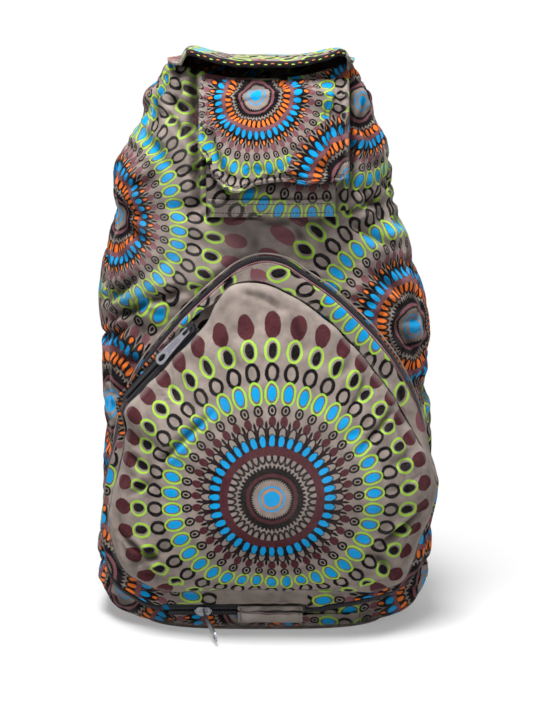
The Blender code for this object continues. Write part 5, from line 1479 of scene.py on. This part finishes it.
def pull_trim():
    """The side pull's matt panel with a dotted border on both faces, and the lower slider's rim."""
    pull = SIDE_ZIP_FRAME @ Matrix.Translation((SIDE_SLIDER_INSET, 0, PULL_PIVOT))
    outline = [(0.0098, -0.0021), (0.0255, -0.0036), (0.0262, -0.0028), (0.0262, 0.0028), (0.0255, 0.0036),
               (0.0098, 0.0021)]
    for side, label in ((1, "front"), (-1, "back")):
        face = pull @ Matrix.Translation((0, 0, side * 0.00058))
        plate(f"side_pull_{label}_panel", outline, 0.00022, face, SATIN_GREY, "side_pull_body")
    border = closed_curve([(x, y, 0) for x, y in outline], 4)
    border = np.vstack([border, border[:1]])
    dots, way = along_line(border * 0.90 + np.array([0.0018, 0, 0.00070]), 1.0 * MM)
    turn = np.array(pull.to_3x3())
    origin = np.array(pull.translation)
    facing = np.tile(turn[:, 2], (len(dots), 1))
    bead = row_of_blocks("side_pull_border", dots @ turn.T + origin, way @ turn.T, facing,
                         (0.5 * MM, 0.5 * MM, 0.3 * MM), NICKEL)
    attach(bead, "side_pull_body")
    rim = LOWER_ZIP_FRAME @ Matrix.Translation((LOWER_SLIDER_PLACE, 0, 0.0020))
    turns = np.linspace(math.pi, 2 * math.pi, 20)
    bow = np.stack([0.0066 * np.cos(turns), 0.0012 + 0.0058 * np.sin(turns), np.zeros(20)], axis=-1)
    ring = [rim @ Vector(point) for point in bow]
    tube("lower_slider_rim", ring, 0.0006, NICKEL, "lower_slider_body", closed=True)


PATCH_SLOT = 0.0016


def patch_leaf(name, low, high, waves, finish, replaced):
    """A leaf of the patch over the zip's ends, on the frame of the lower zip."""
    across, along = 60, 14
    piece, u, v = grid_piece(across, along)
    x = PATCH_LEFT + u * (PATCH_RIGHT - PATCH_LEFT)
    upright = low(u) + v * (high(u) - low(u))
    edge = np.minimum(np.minimum(u, 1 - u) * (PATCH_RIGHT - PATCH_LEFT), np.minimum(v, 1 - v) * 0.010)
    lift = 0.0009 + SEAT + 0.0016 + 0.0005 * lumps(np.stack([x, upright, x * 0], axis=-1), 0.008, waves)
    lift -= 0.0005 * np.exp(-((edge - 0.0016) / 0.0005) ** 2)
    set_places(piece, on_lower_zip(np.stack([x, upright, lift], axis=-1)))
    set_map(piece, np.stack([x, upright], axis=-1), np.clip(1 - edge / 0.001, 0, 1))
    thicken(piece, 0.0012)
    finish_piece(piece, name, finish, replaced=replaced)
    for share, label in ((0.05, "left"), (0.95, "right")):
        steps = np.linspace(0.08, 0.92, 12)
        at = np.full(12, share)
        row = np.stack([PATCH_LEFT + at * (PATCH_RIGHT - PATCH_LEFT), low(at) + steps * (high(at) - low(at)),
                        np.full(12, 0.0029)], axis=-1)
        stitches(f"{name}_{label}_stitches", on_lower_zip(row), np.array(LOWER_FACE), DARK_THREAD)


def slot_wave(u):
    """The slot's uneven line, for shares across the patch."""
    return 0.0004 * np.sin(u * 9.0) + 0.0003 * np.sin(u * 23.0)


def patch_bottom(u):
    """The lower edge of the patch's lower leaf."""
    return np.full(np.shape(u), -PATCH_DROP)


def below_slot(u):
    """The upper edge of the patch's lower leaf."""
    return -PATCH_SLOT / 2 - 0.0012 * u + slot_wave(u)


def above_slot(u):
    """The lower edge of the patch's upper leaf."""
    return PATCH_SLOT / 2 + 0.0006 * u + slot_wave(u + 0.3)


def patch_top(u):
    """The upper edge of the patch's upper leaf."""
    return np.full(np.shape(u), ZIP_MOUTH - 2 * SEAT)


def patch():
    """The patch's two leaves, and the rose edge of the lower one."""
    patch_leaf("zip_patch_lower_leaf", patch_bottom, below_slot, 61, PALE_COTTON, ["zip_patch_lower"])
    patch_leaf("zip_patch_upper_leaf", above_slot, patch_top, 63, WASHED_COTTON, ["zip_patch_upper"])
    steps = np.linspace(0.03, 0.97, 50)
    local = np.stack([PATCH_LEFT + steps * (PATCH_RIGHT - PATCH_LEFT), below_slot(steps) - 0.0006,
                      np.full(50, 0.0030)], axis=-1)
    tube("zip_patch_rose_edge", on_lower_zip(local), 0.0004, ROSE_COTTON)


# Harness
def strap_line(share):
    """The middle of a shoulder strap, from its top (share 0) to its end, on the right side."""
    z = STRAP_TOP - share * (STRAP_TOP - STRAP_END)
    x = STRAP_TOP_OFFSET + (STRAP_END_OFFSET - STRAP_TOP_OFFSET) * share ** 1.3
    y = body_depth(x - 0.030, z, 1) + 0.0045 + 5 * SEAT + STRAP_BULGE * smooth(STRAP_BOW, share)
    return np.stack([x, y, z], axis=-1)


def shoulder_strap(side, label):
    """A padded strap: a closed loft with a crowned section and a sewn edge on both sides."""
    around, along = 40, 150
    piece, u, v = grid_piece(around, along)
    share = 1 - v
    centre = strap_line(share)
    half = np.interp(share, [0, 0.1, 0.5, 0.85, 1.0], [0.024, 0.027, 0.029, 0.024, 0.0145])
    turn = 2 * math.pi * u
    cross = np.sign(np.cos(turn)) * np.abs(np.cos(turn)) ** 0.75
    thick = np.sign(np.sin(turn)) * np.abs(np.sin(turn)) ** 0.9
    ends = np.clip(np.minimum(share, 1 - share) / 0.03, 0, 1) ** 0.5
    depth = 0.0046 * (0.35 + 0.65 * ends) * np.where(np.abs(cross) > 0.8, 0.75, 1.0)
    stitch = 1 - 0.30 * np.exp(-((np.abs(cross) - 0.86) / 0.04) ** 2)
    x = side * centre[:, 0] + cross * half
    places = np.stack([x, centre[:, 1] - 0.003 * cross ** 2 + thick * depth * stitch, centre[:, 2]], axis=-1)
    uneven = 0.0006 * lumps(places, 0.02, 18) + 0.0012 * crumple(places, 0.030, 58)
    places[:, 1] += uneven * thick
    shaped = places.reshape(along + 1, around + 1, 3)
    shaped[:, -1] = shaped[:, 0]
    set_places(piece, shaped.reshape(-1, 3))
    set_map(piece, np.stack([x, centre[:, 2]], axis=-1), np.clip((np.abs(cross) - 0.9) / 0.1, 0, 1) * 0.7)
    weld(piece, close=True)
    piece.data.shade_smooth()
    finish_piece(piece, f"shoulder_strap_{label}_padding", STRAP_COTTON,
                           replaced=[f"shoulder_strap_{label}"])


def turn_round(y, z, radius, start, end, steps=9):
    """Points of a turn round a bar that runs along X, from one angle in degrees to another."""
    angles = np.radians(np.linspace(start, end, steps))
    return np.stack([y + radius * np.cos(angles), z + radius * np.sin(angles)], axis=-1)


def ribbon(name, x, route, finish, replaced, width=WEBBING_WIDTH):
    """Webbing of even thickness along a route of (y, z), its middle at x."""
    route = np.array(route)
    steps = np.concatenate([[0], np.cumsum(np.linalg.norm(np.diff(route, axis=0), axis=1))])
    marks = np.linspace(0, steps[-1], max(24, int(steps[-1] / 0.0010)))
    line = np.stack([np.full(len(marks), x), np.interp(marks, steps, route[:, 0]),
                     np.interp(marks, steps, route[:, 1])], axis=-1)
    count = 10
    piece, u, v = grid_piece(count, len(marks) - 1)
    rows = np.round(v * (len(marks) - 1)).astype(int)
    places = line[rows].copy()
    places[:, 0] += (u - 0.5) * width
    set_places(piece, places)
    set_map(piece, np.stack([(u - 0.5) * width, v * steps[-1]], axis=-1))
    thicken(piece, WEBBING_THICKNESS * 0.94, offset=0.0)
    return finish_piece(piece, name, finish, replaced=replaced)


def webbings():
    """The loops, ladder lock webbings and anchor tabs under both straps, and the haul loop."""
    radius = math.hypot(LOCK_BAR, LOCK_BAR) / 2 + SEAT + WEBBING_THICKNESS / 2
    y = float(strap_line(np.array(1.0))[1])
    top_bar = LOCK_PLACE + LOCK_HEIGHT / 2 - LOCK_BAR / 2
    bottom = LOCK_PLACE - 0.012
    anchor_depth = float(body_depth(np.array(STRAP_END_OFFSET - ANCHOR_SIZE / 2), np.array(ANCHOR_HEIGHT), 1))
    anchor_y = anchor_depth + CLOTH + SEAT + WEBBING_THICKNESS
    bend_y = anchor_y + 0.35 * (y - radius - anchor_y)
    under_strap = STRAP_END - SEAT
    loop = [(y + radius, under_strap), *turn_round(y, top_bar, radius, 0, -180), (y - radius, under_strap)]
    route = [(anchor_y, 0.042), (anchor_y, 0.056), (bend_y, 0.077), (y - radius, bottom - 0.004),
             (y - radius, LOCK_PLACE), *turn_round(y, LOCK_PLACE, radius, 180, 0), (y + radius, bottom),
             (y + radius + 0.002, bottom - 0.05)]
    for side, label in ((-1, "left"), (1, "right")):
        x = side * STRAP_END_OFFSET
        ribbon(f"strap_loop_{label}_webbing", x, loop, WEBBING, [f"strap_loop_{label}"])
        ribbon(f"webbing_{label}_strap", x, route, WEBBING, [f"webbing_{label}"])
        anchor_tab(x, anchor_depth, label)
    haul_loop()


def anchor_tab(x, depth, label):
    """A three-cornered tab of printed cotton that holds a webbing's lower end."""
    half = ANCHOR_SIZE / 2
    across, along = 16, 16
    piece, u, v = grid_piece(across, along)
    rise = (2 * v - 1) * half
    reach = np.interp(rise, [-half, -0.2 * half, half], [half, half, 0.45 * half])
    aside = (2 * u - 1) * reach
    edge = np.minimum(half - np.abs(rise), reach - np.abs(aside))
    puff = 0.0004 * np.clip(edge / 0.003, 0, 1) - 0.0004 * np.exp(-((edge - 0.0025) / 0.0006) ** 2)
    places = np.stack([x - aside, depth + CLOTH / 2 + 0.0008 + puff, ANCHOR_HEIGHT - 0.006 + rise], axis=-1)
    set_places(piece, places)
    set_map(piece, places[:, ::2], np.clip(1 - edge / 0.002, 0, 1) * 0.7)
    thicken(piece, 0.0020)
    finish_piece(piece, f"anchor_tab_{label}_cloth", STRAP_COTTON,
                 replaced=[f"anchor_tab_{label}"])


def haul_loop():
    """A loop of webbing that stands off the bag's back at its top."""
    across, along = 10, 70
    piece, u, v = grid_piece(across, along)
    x = -HAUL_LOOP_HALF_SPAN * np.cos(math.pi * v)
    back = float(body_depth(np.array(HAUL_LOOP_HALF_SPAN), np.array(HAUL_LOOP_HEIGHT - 0.010), 1))
    y = back + SEAT + WEBBING_THICKNESS + HAUL_LOOP_REACH * np.sin(math.pi * v) ** 0.8
    z = HAUL_LOOP_HEIGHT + (u - 0.5) * HAUL_LOOP_WIDTH
    set_places(piece, np.stack([x, y, z], axis=-1))
    set_map(piece, np.stack([(u - 0.5) * HAUL_LOOP_WIDTH, v * 0.085], axis=-1))
    thicken(piece, 2 * WEBBING_THICKNESS * 0.94, offset=0.0)
    finish_piece(piece, "haul_loop_webbing", WEBBING, replaced=["haul_loop"])


# What stays as the solids have it
def carried_over():
    """Gives the solids that stay as they are their finish."""
    for name, finish in (
        ("lower_zip_end", COIL), ("side_slider", GUNMETAL), ("side_pull", NICKEL), ("lower_slider", NICKEL),
        ("lower_pull", NICKEL), ("ladder_lock_left", ACETAL), ("ladder_lock_right", ACETAL),
    ):
        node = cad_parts[name]
        node.data.materials.clear()
        node.data.materials.append(finish)


# Camera, light and floor
FLOOR_WHITE_FROM = 0.25
FLOOR_WHITE_AT = 0.42
FLOOR_SHADOW_CENTRE = (0.0, -0.10, 0.0)
FLOOR_SHADOW_SHAPE = (1.3, 1.0, 1.0)
FLOOR_LIFT = 0.30


def floor_paper():
    """Matt white paper that keeps the bag's soft shadow, and is lit evenly white farther out."""
    made, tree, shader = new_material("matt white paper", "BEBEBE", 0.95)
    shader.inputs["Specular IOR Level"].default_value = 0.0
    rays = add_node(tree, "ShaderNodeLightPath")
    seen = number(tree, "MAXIMUM", rays.outputs["Is Camera Ray"], rays.outputs["Is Transmission Ray"])
    seen = number(tree, "MAXIMUM", seen, rays.outputs["Is Glossy Ray"])
    place = add_node(tree, "ShaderNodeTexCoord").outputs["Object"]
    for operation, by in (("SUBTRACT", FLOOR_SHADOW_CENTRE), ("MULTIPLY", FLOOR_SHADOW_SHAPE)):
        place = add_node(tree, "ShaderNodeVectorMath", [(0, place), (1, by)], operation=operation).outputs[0]
    away = add_node(tree, "ShaderNodeVectorMath", [(0, place)], operation="LENGTH").outputs["Value"]
    far = number(tree, "MULTIPLY", ramp(tree, away, FLOOR_WHITE_FROM, FLOOR_WHITE_AT), seen)
    shader.inputs["Emission Color"].default_value = (1.0, 1.0, 1.0, 1.0)
    tree.links.new(number(tree, "MULTIPLY", seen, FLOOR_LIFT), shader.inputs["Emission Strength"])
    white = add_node(tree, "ShaderNodeEmission", [("Color", (1.0, 1.0, 1.0, 1.0)), ("Strength", 1.0)])
    mixed = add_node(tree, "ShaderNodeMixShader", [(0, far), (1, shader.outputs[0]), (2, white.outputs[0])])
    tree.links.new(mixed.outputs[0], tree.nodes["Material Output"].inputs["Surface"])
    return made


# Each lamp's name, place, width in metres and power in watts
LAMPS = [
    ("key", (-0.28, -0.80, 2.3), 0.8, 82.0), ("fill", (1.3, -1.7, 1.1), 1.6, 3.0),
    ("rim", (0.4, 1.8, 1.6), 1.4, 9.0),
]
LAMPS_AIM = Vector((0, 0, 0.22))
CAMERA_AIM = Vector((0, -0.03, 0.232))
CAMERA_AWAY = 1.6
CAMERA_HEIGHT = math.radians(10)
CAMERA_TILT = math.radians(80)


def studio():
    """The floor, the world, the lamps and the camera at the photograph's angle."""
    bpy.ops.object.select_all(action="DESELECT")
    bpy.ops.mesh.primitive_plane_add(size=12, location=(0, 0, 0))
    floor = bpy.context.object
    floor.name = "floor"
    drop = places_of(floor)
    drop[:, 2] -= 0.0005
    set_places(floor, drop)
    floor.data.materials.append(floor_paper())
    world = bpy.data.worlds.new("studio")
    bpy.context.scene.world = world
    world.use_nodes = True
    tree = world.node_tree
    tree.nodes.clear()
    rays = add_node(tree, "ShaderNodeLightPath")
    seen = number(tree, "MAXIMUM", rays.outputs["Is Camera Ray"], rays.outputs["Is Transmission Ray"])
    seen = number(tree, "MAXIMUM", seen, rays.outputs["Is Glossy Ray"])
    light = add_node(tree, "ShaderNodeBackground", [("Color", colour("F1F3F6")), ("Strength", 0.22)])
    backdrop = add_node(tree, "ShaderNodeBackground", [("Color", (1.0, 1.0, 1.0, 1.0)), ("Strength", 1.0)])
    mixed = add_node(tree, "ShaderNodeMixShader",
                     [(0, seen), (1, light.outputs[0]), (2, backdrop.outputs[0])])
    out = add_node(tree, "ShaderNodeOutputWorld")
    tree.links.new(mixed.outputs[0], out.inputs[0])
    for name, place, size, power in LAMPS:
        lamp = bpy.data.lights.new(name, "AREA")
        lamp.size = size
        lamp.energy = power
        holder = bpy.data.objects.new(name, lamp)
        bpy.context.scene.collection.objects.link(holder)
        holder.location = place
        holder.rotation_euler = (LAMPS_AIM - Vector(place)).to_track_quat("-Z", "Y").to_euler()
    lens = bpy.data.cameras.new("camera")
    camera = bpy.data.objects.new("camera", lens)
    bpy.context.scene.collection.objects.link(camera)
    outwards_from_aim = Vector((0, -math.cos(CAMERA_HEIGHT), math.sin(CAMERA_HEIGHT)))
    camera.location = CAMERA_AIM + CAMERA_AWAY * outwards_from_aim
    camera.rotation_euler = (CAMERA_TILT, 0, 0)
    lens.lens = 98.8
    lens.sensor_width = 36
    lens.shift_y = -0.0167
    bpy.context.scene.camera = camera
    bpy.context.scene.view_settings.view_transform = "Standard"


studio()
body()
base()
small_pocket()
flap()
mouth_sides()
lid()
dome()
gusset()
base_strip()
outer_zip()
piping()
straight_zips()
pull_trim()
patch()
for strap_side, strap_label in ((-1, "left"), (1, "right")):
    shoulder_strap(strap_side, strap_label)
webbings()
carried_over()
